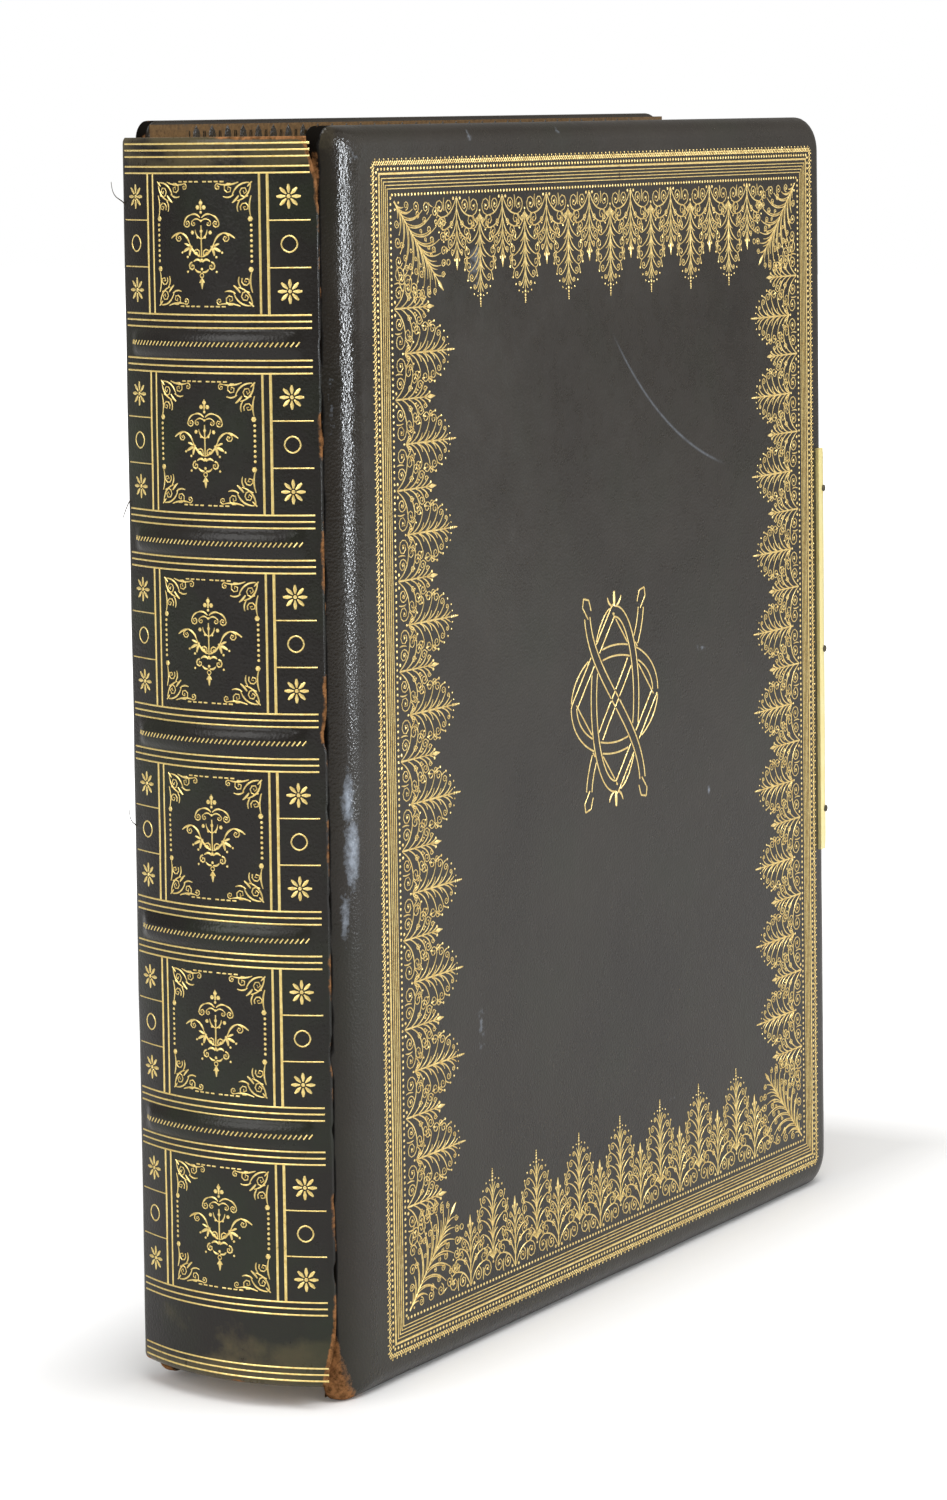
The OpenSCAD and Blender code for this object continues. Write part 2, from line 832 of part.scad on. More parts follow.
module front_ornament_gilt() {
    color(gilt_colour)
        on_front()
            front_ornament();
}

module back_board() {
    color([0.52, 0.42, 0.30])
        on_back()
            cover_board(clasp_z - back_z);
}

module back_leather() {
    color(leather_colour)
        on_back()
            cover_leather(clasp_z - back_z);
}

module back_pastedown() {
    color([0.80, 0.76, 0.64])
        on_back()
            cover_pastedown();
}

module back_turn_in_gilt() {
    color(gilt_colour)
        on_back()
            turn_in_gilt();
}

module back_frame_gilt() {
    color(gilt_colour)
        on_back()
            frame_gilt();
}

module front_window_card() {
    window_card(window_deep - block_t / 2 - card_t);
}

module back_window_card() {
    window_card(block_t / 2 - window_deep);
}

module front_window_gilt() {
    window_gilt(-block_t / 2 - gilt_t);
}

module back_window_gilt() {
    window_gilt(block_t / 2);
}

module front_hinge_cloth() {
    hinge_cloth(-block_t / 2 - hinge_cloth_t);
}

module back_hinge_cloth() {
    hinge_cloth(block_t / 2);
}

module head_band() {
    end_band(block_z + block_h + end_band_r);
}

module tail_band() {
    end_band(block_z - end_band_r);
}

module catch_plate() {
    color(brass_colour)
        on_front()
            edge_plate(clasp_z);
}

module catch_pins() {
    color([0.30, 0.25, 0.18])
        on_front()
            plate_pins(clasp_z);
}

// The back plate carries the two outer knuckles on short arms
module clasp_plate() {
    arm_t = 1.6;
    color(brass_colour) {
        on_back()
            edge_plate(clasp_z - back_z);
        in_album()
            difference() {
                for (side = [-1, 1])
                    translate([0, 0, clasp_z - knuckle_h / 2 + side * (knuckle_h + knuckle_gap)])
                        union() {
                            clasp_knuckle(0);
                            translate([back_fore_x + plate_t / 2, clasp_axis_y - arm_t / 2, 0])
                                cube([strap_x - back_fore_x - plate_t / 2, arm_t, knuckle_h]);
                        }
                clasp_bore(hinge_pin_r + pin_fit);
            }
    }
}

module clasp_pins() {
    color([0.30, 0.25, 0.18])
        on_back()
            plate_pins(clasp_z - back_z);
}

// The strap stands straight out at rest, and turns over the fore edge to lap the front plate
module clasp_strap() {
    tip_slope = 4;
    tip_corner = 2;
    belly_proud = 1;
    reach = strap_x + strap_len;
    shoulder = strap_x + knuckle_r + lip_gap;
    belly = strap_x + strap_taper;
    foot_z = strap_h / 2;
    tip_z = strap_tip_h / 2;
    color(brass_colour)
        in_album()
            difference() {
                union() {
                    clasp_knuckle(clasp_z - knuckle_h / 2);
                    translate([strap_x, clasp_axis_y - strap_t / 2, clasp_z - knuckle_h / 2])
                        cube([knuckle_r + 1, strap_t, knuckle_h]);
                    intersection() {
                        translate([0, 0, clasp_z - strap_h / 2])
                            linear_extrude(strap_h)
                                union() {
                                    translate([shoulder, clasp_axis_y - strap_t / 2])
                                        square([reach - shoulder, strap_t]);
                                    translate([reach - strap_t, clasp_axis_y - strap_t / 2 - lip_gap - lip_len])
                                        square([strap_t, lip_len + lip_gap + strap_t]);
                                }
                        slab(clasp_axis_y - half_t, 2 * half_t)
                            translate([0, clasp_z])
                                polygon([[shoulder, -foot_z], [belly, -tip_z - belly_proud],
                                         [reach - tip_slope, -tip_z], [reach, tip_corner - tip_z],
                                         [reach, tip_z - tip_corner], [reach - tip_slope, tip_z],
                                         [belly, tip_z + belly_proud], [shoulder, foot_z]]);
                    }
                }
                clasp_bore(hinge_pin_r + run_fit);
            }
}

module clasp_hinge_pin() {
    head_t = 0.6;
    head_proud = 0.5;
    color([0.80, 0.68, 0.34])
        in_album()
            translate([strap_x, clasp_axis_y, clasp_z - stack_h / 2]) {
                cylinder(r = hinge_pin_r, h = stack_h, $fn = 48);
                translate([0, 0, stack_h])
                    cylinder(r = hinge_pin_r + head_proud, h = head_t, $fn = 48);
                translate([0, 0, -head_t])
                    cylinder(r = hinge_pin_r + head_proud, h = head_t, $fn = 48);
            }
}

front_board();
front_leather();
front_pastedown();
front_turn_in_gilt();
front_frame_gilt();
front_border_gilt();
front_ornament_gilt();
back_board();
back_leather();
back_pastedown();
back_turn_in_gilt();
back_frame_gilt();
spine_leather();
spine_liner();
spine_line_gilt();
spine_panel_gilt();
spine_ornament_gilt();
spine_star_gilt();
page_block();
front_window_card();
back_window_card();
front_window_gilt();
back_window_gilt();
front_hinge_cloth();
back_hinge_cloth();
head_band();
tail_band();
catch_plate();
catch_pins();
clasp_plate();
clasp_pins();
clasp_strap();
clasp_hinge_pin();
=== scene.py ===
import math
import bpy
import numpy as np
from mathutils import Matrix, Vector


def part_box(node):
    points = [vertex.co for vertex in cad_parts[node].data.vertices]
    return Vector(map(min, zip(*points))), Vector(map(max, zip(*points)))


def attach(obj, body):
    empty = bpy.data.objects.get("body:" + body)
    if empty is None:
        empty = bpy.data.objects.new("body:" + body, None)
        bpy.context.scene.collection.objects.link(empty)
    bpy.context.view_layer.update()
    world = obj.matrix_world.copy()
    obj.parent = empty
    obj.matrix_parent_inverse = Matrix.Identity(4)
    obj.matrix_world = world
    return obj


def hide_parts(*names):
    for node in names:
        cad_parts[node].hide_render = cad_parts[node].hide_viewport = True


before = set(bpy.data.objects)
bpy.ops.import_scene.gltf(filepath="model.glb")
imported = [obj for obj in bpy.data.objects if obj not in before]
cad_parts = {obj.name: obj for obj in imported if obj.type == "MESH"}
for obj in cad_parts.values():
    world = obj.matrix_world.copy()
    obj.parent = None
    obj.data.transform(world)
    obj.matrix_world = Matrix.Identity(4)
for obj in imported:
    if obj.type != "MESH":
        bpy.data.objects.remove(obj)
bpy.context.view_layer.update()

print("album: frame loaded")


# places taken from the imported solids, in millimetres

# low and high corner of a node's box, in millimetres
def boxOf(node):
    low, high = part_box(node)
    return np.array(low) * 1000, np.array(high) * 1000


frontLow, frontHigh = boxOf("front_leather")
backLow, backHigh = boxOf("back_leather")
spineLow, spineHigh = boxOf("spine_leather")
frameLow, frameHigh = boxOf("front_frame_gilt")
blockLow, blockHigh = boxOf("page_block")


# front cover: a from its joint edge, h from its tail, out from its face: (x0 + a, y0 - out, z0 + h)
def onFront(a, h, out):
    return np.stack(np.broadcast_arrays(frontLow[0] + a, frontLow[1] - out, frontLow[2] + h), -1)


# back cover: (x0 + a, y1 + out, z0 + h)
def onBack(a, h, out):
    return np.stack(np.broadcast_arrays(backLow[0] + a, backHigh[1] + out, backLow[2] + h), -1)


# meshes

# a mesh object from points in millimetres and index arrays, one array for each number of corners
def addMesh(name, points, faceSets, material, body, replaces=(), flip=False, smooth=True, marks=None):
    corners = np.concatenate([f.reshape(-1) for f in faceSets])
    sizes = np.concatenate([np.full(len(f), f.shape[1]) for f in faceSets])
    starts = np.concatenate([[0], np.cumsum(sizes)[:-1]])
    if flip:
        corners = np.concatenate([f[:, ::-1].reshape(-1) for f in faceSets])
    mesh = bpy.data.meshes.new(name)
    mesh.vertices.add(len(points))
    mesh.vertices.foreach_set("co", (np.asarray(points) * 0.001).astype(np.float32).ravel())
    mesh.loops.add(len(corners))
    mesh.loops.foreach_set("vertex_index", corners.astype(np.int32))
    mesh.polygons.add(len(sizes))
    mesh.polygons.foreach_set("loop_start", starts.astype(np.int32))
    mesh.polygons.foreach_set("use_smooth", np.full(len(sizes), smooth))
    for key, values in (marks or {}).items():
        mesh.attributes.new(key, "FLOAT", "POINT").data.foreach_set("value", np.asarray(values, np.float32))
    mesh.update(calc_edges=True)
    mesh.validate()
    mesh.materials.append(material)
    obj = bpy.data.objects.new(name, mesh)
    bpy.context.scene.collection.objects.link(obj)
    if body:
        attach(obj, body)
    if replaces:
        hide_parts(*replaces)
    return obj


# quads between neighbouring rows of a grid whose columns close into a ring
def tubeFaces(rows, cols, closeRows=False, closeCols=True):
    i = np.arange(rows if closeRows else rows - 1)[:, None]
    j = np.arange(cols if closeCols else cols - 1)[None, :]
    i2, j2 = (i + 1) % rows, (j + 1) % cols
    return np.stack(np.broadcast_arrays(i * cols + j, i * cols + j2, i2 * cols + j2, i2 * cols + j),
                    -1).reshape(-1, 4)


# merges (points, face arrays...) parts into one set of points and faces by number of corners
def joinParts(parts):
    points, faces, offset = [], {}, 0
    for part in parts:
        for f in part[1:]:
            faces.setdefault(f.shape[1], []).append(f + offset)
        points.append(part[0])
        offset += len(part[0])
    return np.concatenate(points), [np.concatenate(f) for f in faces.values()]


# sum of sines in turned directions: n = sum(sin(k.x + phase) / octave)
def smoothNoise(x, y, seed, octaves=3):
    draws = np.random.default_rng(seed)
    total = np.zeros(np.broadcast(x, y).shape)
    for octave in range(octaves):
        for _ in range(4):
            turn, phase = draws.uniform(0, 2 * np.pi, 2)
            pace = 2 ** octave * draws.uniform(0.7, 1.3)
            total += np.sin(pace * (x * np.cos(turn) + y * np.sin(turn)) + phase) / 2 ** octave
    return total / 4


# materials

# a material with its node tree and main shader
def newMaterial(name):
    material = bpy.data.materials.new(name)
    material.use_nodes = True
    tree = material.node_tree
    shader = next(n for n in tree.nodes if n.type == "BSDF_PRINCIPLED")
    return material, tree, shader


# a shader node with the values of its inputs by name
def addNode(tree, kind, **inputs):
    node = tree.nodes.new(kind)
    for key, value in inputs.items():
        node.inputs[key].default_value = value
    return node


# a vector sum, product or length: first input linked, second a fixed value
def vectorNode(tree, operation, vector, fixed=None):
    node = tree.nodes.new("ShaderNodeVectorMath")
    node.operation = operation
    tree.links.new(vector, node.inputs[0])
    if fixed:
        node.inputs[1].default_value = fixed
    return node


# places in metres in the object's own frame
def coordinates(tree):
    return tree.nodes.new("ShaderNodeTexCoord").outputs["Object"]


# cloudy noise from 0 to 1: scale is in waves for each metre
def noiseOf(tree, vector, scale, detail=4, roughness=0.55):
    node = addNode(tree, "ShaderNodeTexNoise", Scale=scale, Detail=detail, Roughness=roughness)
    tree.links.new(vector, node.inputs["Vector"])
    return node.outputs["Fac"]


# colour or grey between stops (position, colour)
def ramp(tree, value, *stops):
    node = tree.nodes.new("ShaderNodeValToRGB")
    elements = node.color_ramp.elements
    while len(elements) < len(stops):
        elements.new(0.5)
    for element, (position, colour) in zip(elements, stops):
        element.position = position
        element.color = (*colour, 1) if hasattr(colour, "__len__") else (colour, colour, colour, 1)
    tree.links.new(value, node.inputs["Fac"])
    return node.outputs["Color"]


# a (1 - factor) + b factor, for linked or fixed values
def mixColour(tree, factor, a, b):
    node = tree.nodes.new("ShaderNodeMix")
    node.data_type = "RGBA"
    for socket, value in ((node.inputs[0], factor), (node.inputs[6], a), (node.inputs[7], b)):
        if hasattr(value, "is_output"):
            tree.links.new(value, socket)
        else:
            socket.default_value = value if not hasattr(value, "__len__") else (*value, 1)
    return node.outputs[2]


# one sum of up to three values, each linked or fixed: MULTIPLY_ADD is a b + c
def calc(tree, operation, a, b=0.0, c=0.0, clamp=False):
    node = tree.nodes.new("ShaderNodeMath")
    node.operation, node.use_clamp = operation, clamp
    for socket, value in zip(node.inputs, (a, b, c)):
        if hasattr(value, "is_output"):
            tree.links.new(value, socket)
        else:
            socket.default_value = value
    return node.outputs[0]


# relief: the normal turned by the slope of the height
def bump(tree, shader, height, strength, distance):
    node = addNode(tree, "ShaderNodeBump", Strength=strength, Distance=distance)
    tree.links.new(height, node.inputs["Height"])
    tree.links.new(node.outputs["Normal"], shader.inputs["Normal"])


# a mesh's own value for each point, such as its wear
def markOf(tree, name):
    node = tree.nodes.new("ShaderNodeAttribute")
    node.attribute_name = name
    return node.outputs["Fac"]


leatherLook = {
    "dark": (0.0150, 0.0118, 0.0084), "light": (0.029, 0.0240, 0.0180), "green": (0.017, 0.021, 0.011),
    # the crack tone is a painted shade: near black for the shaded gaps at the joints and the inside of the
    # spine
    "rubbed": (0.075, 0.062, 0.038), "raw": (0.32, 0.150, 0.060), "crackShade": (0.006, 0.005, 0.004),
    # the pale bluish scuff tone is partly real scuffs and partly a painted highlight on the rounded joint
    # edge
    "scuffAndSheen": (0.30, 0.34, 0.40), "polish": 0.13, "grain": 1500, "roughness": (0.22, 0.38), "sheen": 0.31,
}
spineLook = {
    **leatherLook, "dark": (0.010, 0.0085, 0.0075), "light": (0.019, 0.0165, 0.0135),
    "green": (0.018, 0.026, 0.012), "rubbed": (0.095, 0.076, 0.036), "sheen": 0.30,
}
# spots on the rounded joint edge, x below -133, are a painted highlight broken into streaks; the rest are
# scuffs
scuffsAndSheen = [  # centre x, z and reach x, z in millimetres, strength
    (-138.0, 138.0, 2.6, 9.0, 1.0), (-137.0, 126.0, 3.4, 13.0, 1.0), (-139.4, 112.0, 2.0, 8.0, 0.8),
    (-81.0, 257.0, 5.0, 9.0, 0.55), (-83.0, 77.0, 3.0, 12.0, 0.35), (32.5, 116.9, 1.2, 1.8, 0.9),
    (-82.7, 287.0, 2.4, 2.0, 0.6), (-40.6, 287.8, 3.0, 1.4, 0.5), (-134.0, 283.5, 7.0, 5.0, 0.25),
    (29.0, 154.4, 6.0, 1.2, 0.4), (10.0, 40.0, 9.0, 1.5, 0.3), (-141.0, 225.0, 1.4, 16.0, 0.3),
]
scratch = {  # an arc round a centre, shown near one place, in millimetres
    "centre": (70.1, 309.6), "radius": 112.0, "wide": 0.5, "from": (12.0, 217.0), "reach": 35.0,
    "strength": 0.6,
}


# 1 - |(p - centre) / reach|, measured in the plane of the cover
def spot(tree, where, x, z, reachX, reachZ):
    moved = vectorNode(tree, "SUBTRACT", where, (x / 1000, 0, z / 1000))
    scaled = vectorNode(tree, "MULTIPLY", moved.outputs["Vector"], (1000 / reachX, 0, 1000 / reachZ))
    size = vectorNode(tree, "LENGTH", scaled.outputs["Vector"])
    return calc(tree, "SUBTRACT", 1.0, size.outputs["Value"])


# pale spots broken up by the grain, which are rubbed scuffs on the face and a painted highlight in streaks
# on the rounded joint edge, and one long curved scratch
def scuffAndSheenMask(tree, where, rough):
    mask = 0.0
    for *shape, strength in scuffsAndSheen:
        mask = calc(tree, "MAXIMUM", mask,
                    calc(tree, "MULTIPLY", spot(tree, where, *shape), strength * 1.5))
    mask = calc(tree, "MULTIPLY_ADD", rough, 1.8, calc(tree, "MULTIPLY_ADD", mask, 0.9, -1.25), True)
    radius, reach = scratch["radius"], scratch["reach"]
    line = calc(tree, "SUBTRACT", 1.0, spot(tree, where, *scratch["centre"], radius, radius))
    line = calc(tree, "ABSOLUTE", calc(tree, "SUBTRACT", line, 1.0))
    line = calc(tree, "MULTIPLY", line, radius / scratch["wide"])
    line = calc(tree, "SUBTRACT", 1.0, line, clamp=True)
    near = calc(tree, "MULTIPLY", spot(tree, where, *scratch["from"], reach, reach), 3.0, clamp=True)
    line = calc(tree, "MULTIPLY", calc(tree, "MULTIPLY", line, near),
                calc(tree, "MULTIPLY", rough, scratch["strength"]))
    return calc(tree, "MAXIMUM", mask, line)


# fine-grained goatskin: slow changes of colour, a small grain, rubbed leather where the mark says so,
# near-black painted shade in the joint gaps, and optionally pale spots that are scuffs and a painted
# highlight
def leatherMaterial(name, look, greenish, withScuffsAndSheen=False):
    material, tree, shader = newMaterial(name)
    link = tree.links.new
    where = coordinates(tree)
    slow = noiseOf(tree, where, 18, 5)
    fine = noiseOf(tree, where, 240, 6, 0.65)
    rough = noiseOf(tree, where, 620, 4, 0.7)
    colour = ramp(tree, slow, (0.32, look["dark"]), (0.72, look["light"]))
    patches = ramp(tree, noiseOf(tree, where, 34, 4), (0.48, 0.0), (0.70, 1.0))
    colour = mixColour(tree, calc(tree, "MULTIPLY", patches, greenish), colour, look["green"])
    rubbed = calc(tree, "MULTIPLY_ADD", markOf(tree, "wear"), 1.5, calc(tree, "SUBTRACT", fine, 1.12), True)
    rubbed = calc(tree, "MULTIPLY", rubbed, 2.2, clamp=True)
    rubbedTone = mixColour(tree, patches, look["rubbed"], tuple(1.1 * v for v in look["green"]))
    colour = mixColour(tree, calc(tree, "MULTIPLY", rubbed, 0.75), colour, rubbedTone)
    # painted shade: where this mark says so the colour goes near black, for the shaded gaps at the joints
    paintedCrackShade = calc(tree, "MULTIPLY_ADD", markOf(tree, "crackShade"), 2.4,
                   calc(tree, "MULTIPLY_ADD", fine, 0.9, -1.4), True)
    colour = mixColour(tree, calc(tree, "MULTIPLY", paintedCrackShade, 4.0, clamp=True), colour, look["crackShade"])
    torn = calc(tree, "MULTIPLY_ADD", markOf(tree, "raw"), 2.0, calc(tree, "SUBTRACT", rough, 1.2), True)
    torn = calc(tree, "MULTIPLY", torn, 3.0, clamp=True)
    rawTone = ramp(tree, rough, (0.35, tuple(0.25 * v for v in look["raw"])), (0.60, look["raw"]))
    colour = mixColour(tree, torn, colour, rawTone)
    # pale bluish spots: scuffs on the face, and a painted highlight on the rounded joint edge
    if withScuffsAndSheen:
        colour = mixColour(tree, scuffAndSheenMask(tree, where, rough), colour, look["scuffAndSheen"])
    link(colour, shader.inputs["Base Color"])
    cells = addNode(tree, "ShaderNodeTexVoronoi", Scale=look["grain"])
    link(where, cells.inputs["Vector"])
    grain = calc(tree, "MULTIPLY_ADD", fine, 0.8, cells.outputs["Distance"])
    grain = calc(tree, "MULTIPLY_ADD", noiseOf(tree, where, 70, 3), 2.0, grain)
    grain = calc(tree, "MULTIPLY_ADD", calc(tree, "MULTIPLY", torn, rough), 4.0, grain)
    bump(tree, shader, grain, 0.22, 0.0002)
    gloss = ramp(tree, calc(tree, "MULTIPLY_ADD", fine, 0.5, calc(tree, "MULTIPLY", slow, 0.5)),
                 (0.35, look["roughness"][0]), (0.68, look["roughness"][1]))
    gloss = calc(tree, "MULTIPLY_ADD", markOf(tree, "polish"), -look["polish"], gloss, True)
    dull = calc(tree, "MAXIMUM", torn, paintedCrackShade)
    link(calc(tree, "MULTIPLY_ADD", dull, 0.5, gloss, True), shader.inputs["Roughness"])
    link(calc(tree, "MULTIPLY_ADD", dull, -0.3, look["sheen"], True), shader.inputs["Specular IOR Level"])
    return material


# gold leaf pressed into leather: uneven shine, with some of it rubbed away
def giltMaterial(name, bright, dull, worn):
    material, tree, shader = newMaterial(name)
    where = coordinates(tree)
    fine = noiseOf(tree, where, 900, 3, 0.7)
    slow = noiseOf(tree, where, 60, 4)
    colour = ramp(tree, fine, (0.30, dull), (0.62, bright))
    lost = ramp(tree, calc(tree, "MULTIPLY_ADD", fine, 0.6, calc(tree, "MULTIPLY", slow, 0.6)),
                (worn - 0.06, 0.8), (worn, 0.0))
    colour = mixColour(tree, lost, colour, (0.06, 0.045, 0.02))
    tree.links.new(colour, shader.inputs["Base Color"])
    tree.links.new(calc(tree, "SUBTRACT", 0.70, lost, clamp=True), shader.inputs["Metallic"])
    tree.links.new(ramp(tree, fine, (0.3, 0.50), (0.7, 0.30)), shader.inputs["Roughness"])
    return material


# one finish with mottled colour and a small relief
def plainMaterial(name, light, dark, scale, roughness, metallic=0.0, bumpBy=0.1):
    material, tree, shader = newMaterial(name)
    cloud = noiseOf(tree, coordinates(tree), scale, 6, 0.6)
    tree.links.new(ramp(tree, cloud, (0.35, dark), (0.68, light)), shader.inputs["Base Color"])
    tree.links.new(ramp(tree, cloud, (0.3, roughness * 1.15), (0.7, roughness * 0.85)),
                   shader.inputs["Roughness"])
    shader.inputs["Metallic"].default_value = metallic
    bump(tree, shader, cloud, bumpBy, 0.0003)
    return material


# card whose outer edges are gilded: gold where max(x - x1, z - z1, z0 - z) > -reach
def blockMaterial(name, light, dark, gold, reach):
    material, tree, shader = newMaterial(name)
    where = coordinates(tree)
    cloud = noiseOf(tree, where, 140, 6, 0.6)
    apart = tree.nodes.new("ShaderNodeSeparateXYZ")
    tree.links.new(where, apart.inputs["Vector"])
    fore = calc(tree, "SUBTRACT", apart.outputs["X"], blockHigh[0] / 1000)
    head = calc(tree, "SUBTRACT", apart.outputs["Z"], blockHigh[2] / 1000)
    tail = calc(tree, "SUBTRACT", blockLow[2] / 1000, apart.outputs["Z"])
    past = calc(tree, "MAXIMUM", fore, calc(tree, "MAXIMUM", head, tail))
    edge = calc(tree, "GREATER_THAN", past, -reach / 1000)
    worn = calc(tree, "MULTIPLY", edge,
                ramp(tree, noiseOf(tree, where, 260, 5, 0.7), (0.34, 0.35), (0.52, 1.0)))
    card = ramp(tree, cloud, (0.35, dark), (0.68, light))
    tree.links.new(mixColour(tree, worn, card, gold), shader.inputs["Base Color"])
    tree.links.new(calc(tree, "MULTIPLY", worn, 0.75), shader.inputs["Metallic"])
    tree.links.new(calc(tree, "MULTIPLY_ADD", worn, -0.38, 0.75), shader.inputs["Roughness"])
    bump(tree, shader, cloud, 0.1, 0.0003)
    return material


leather = leatherMaterial("albumLeather", leatherLook, 0.30)
frontSkin = leatherMaterial("frontLeather", leatherLook, 0.30, True)
spineSkin = leatherMaterial("spineLeather", spineLook, 0.65)
gilt = giltMaterial("gilt", (1.0, 0.78, 0.33), (0.64, 0.44, 0.15), 0.42)
spineGilt = giltMaterial("spineGilt", (1.0, 0.80, 0.32), (0.78, 0.56, 0.18), 0.44)
innerGilt = giltMaterial("innerGilt", (0.19, 0.115, 0.048), (0.075, 0.042, 0.018), 0.46)
brass = plainMaterial("brass", (1.0, 0.90, 0.46), (0.95, 0.80, 0.33), 120, 0.32, 0.50, 0.05)
darkPin = plainMaterial("darkPin", (0.10, 0.08, 0.05), (0.04, 0.03, 0.02), 900, 0.5, 0.4)
boardCard = plainMaterial("boardCard", (0.50, 0.38, 0.24), (0.36, 0.26, 0.15), 500, 0.85)
endpaper = plainMaterial("endpaper", (0.50, 0.455, 0.36), (0.43, 0.385, 0.29), 90, 0.7)
leafCard = plainMaterial("leafCard", (0.53, 0.49, 0.40), (0.46, 0.41, 0.32), 140, 0.75)
giltBlock = blockMaterial("giltBlock", (0.53, 0.49, 0.40), (0.46, 0.41, 0.32), (0.80, 0.58, 0.24), 0.35)
cloth = plainMaterial("hingeCloth", (0.17, 0.10, 0.06), (0.11, 0.06, 0.04), 1200, 0.8)
silk = plainMaterial("headSilk", (0.62, 0.16, 0.12), (0.50, 0.36, 0.12), 420, 0.5)
print("album: materials ready")


# covers

cover = {
    "thick": 7.0, "skin": 0.8, "foreRadius": 9.0, "jointRadius": 4.0,
    "edgeIn": 5.0, "edgeDeep": 4.0, "jointIn": 13.0, "jointDeep": 5.0,
    "turnIn": 16.0, "arcSteps": 8, "longSteps": 60, "wideSteps": 48, "layers": 11,
}
coverWear = {  # reaches and depths in millimetres, shares from 0 to 1
    "wave": 0.16, "waveLength": 9, "tailReach": (14, 12), "headReach": (10, 9), "foreReach": (9, 9),
    "edgeDepth": 3.5, "edgeShare": 0.34, "foreShare": 0.3, "patchShare": 0.28, "headShare": 0.5,
    "tailRaw": 0.95, "headRaw": 0.25, "shadedWallDepth": 2.9, "shadedWallWide": 7.5, "crackRaw": 0.62,
    "polishWide": 16,
}
coverWide = frontHigh[0] - frontLow[0]
coverTall = frontHigh[2] - frontLow[2]


# points round a rectangle with rounded corners, as many for any size: arcs c + r (cos t, sin t), straights
def roundedOutline(x0, z0, x1, z1, jointR, foreR):
    t = np.linspace(0, np.pi / 2, cover["arcSteps"] + 1)
    longs = np.linspace(0, 1, cover["longSteps"] + 1)[1:-1]
    wides = np.linspace(0, 1, cover["wideSteps"] + 1)[1:-1]
    corners = [(x1 - foreR, z0 + foreR, foreR, -np.pi / 2), (x1 - foreR, z1 - foreR, foreR, 0),
               (x0 + jointR, z1 - jointR, jointR, np.pi / 2), (x0 + jointR, z0 + jointR, jointR, np.pi)]
    arcs = [np.stack([cx + r * np.cos(t + a), cz + r * np.sin(t + a)], -1) for cx, cz, r, a in corners]
    runs = []
    for k, arc in enumerate(arcs):
        start, end = arc[-1], arcs[(k + 1) % 4][0]
        share = (longs if k % 2 == 0 else wides)[:, None]
        runs += [arc, start + (end - start) * share]
    return np.concatenate(runs)


# how far a rounded edge stands in at a depth: reach (1 - sqrt(1 - (1 - depth / deep)^2))
def insetAt(depth, reach, deep):
    share = np.clip(1 - depth / deep, 0, 1)
    return reach * (1 - np.sqrt(1 - share ** 2))


# the cover's outline at a depth under its face, drawn in by its rounded edges and by the skin
def coverRing(skin, depth):
    below = depth - skin
    fore = skin + insetAt(below, cover["edgeIn"] - skin, cover["edgeDeep"] - skin)
    joint = skin + insetAt(below, cover["jointIn"] - skin, cover["jointDeep"] - skin)
    flat = roundedOutline(joint, fore, coverWide - fore, coverTall - fore, cover["jointRadius"],
                          max(cover["foreRadius"] - fore, 1))
    return np.column_stack([flat, np.full(len(flat), depth)])


# the outline at a fixed inset and depth
def insideRing(inset, depth):
    flat = roundedOutline(inset, inset, coverWide - inset, coverTall - inset,
                          max(cover["jointRadius"] - inset, 1), max(cover["foreRadius"] - inset, 1))
    return np.column_stack([flat, np.full(len(flat), depth)])


# a soft step from 1 to 0: clip((edge - x) / width, 0, 1)
def stepTo(edge, x, width):
    return np.clip((edge - x) / width, 0, 1)


# a round spot: exp(-(x / reach x)^2 - (z / reach z)^2)
def softSpot(x, z, reach):
    return np.exp(-((x / reach[0]) ** 2 + (z / reach[1]) ** 2))


# wear, bare leather, painted shade deep in the joint's gap, and polish of each point: spots at the corners,
# steps from the joint's edge
def coverMarks(a, h, depth, outside):
    worn = coverWear
    tailJoint = softSpot(a, h, worn["tailReach"])
    headJoint = softSpot(a, coverTall - h, worn["headReach"])
    foreEnds = softSpot(coverWide - a, np.minimum(h, coverTall - h), worn["foreReach"])
    edge = np.clip(depth / worn["edgeDepth"], 0, 1) * (depth < cover["thick"] - 0.1)
    patches = worn["patchShare"] * smoothNoise(a / 30, h / 22, 5)
    wear = outside * edge * (worn["edgeShare"] + worn["foreShare"] * foreEnds + patches)
    wear = wear + worn["headShare"] * headJoint * outside
    # painted shade: the joint-side wall deeper than its set depth turns near black, less at the tail
    # corner; the raw specks on it are real
    wall = np.clip((depth - worn["shadedWallDepth"]) / 0.6 + 0.9 * smoothNoise(h / 2.3, depth * 0, 3), 0, 1)
    wall = wall * stepTo(worn["shadedWallWide"], a, 1.5)
    raw = outside * (worn["tailRaw"] * tailJoint * edge + worn["headRaw"] * headJoint * edge)
    raw += outside * wall * np.clip(smoothNoise(h / 3.1, depth / 2, 17) * 1.2 - 0.12, 0, worn["crackRaw"])
    crackShade = outside * wall * (1 - 0.9 * tailJoint)
    polish = outside * stepTo(worn["polishWide"], a, 4) * (depth > 0)
    return {"wear": wear.ravel(), "raw": raw.ravel(), "crackShade": crackShade.ravel(), "polish": polish.ravel()}


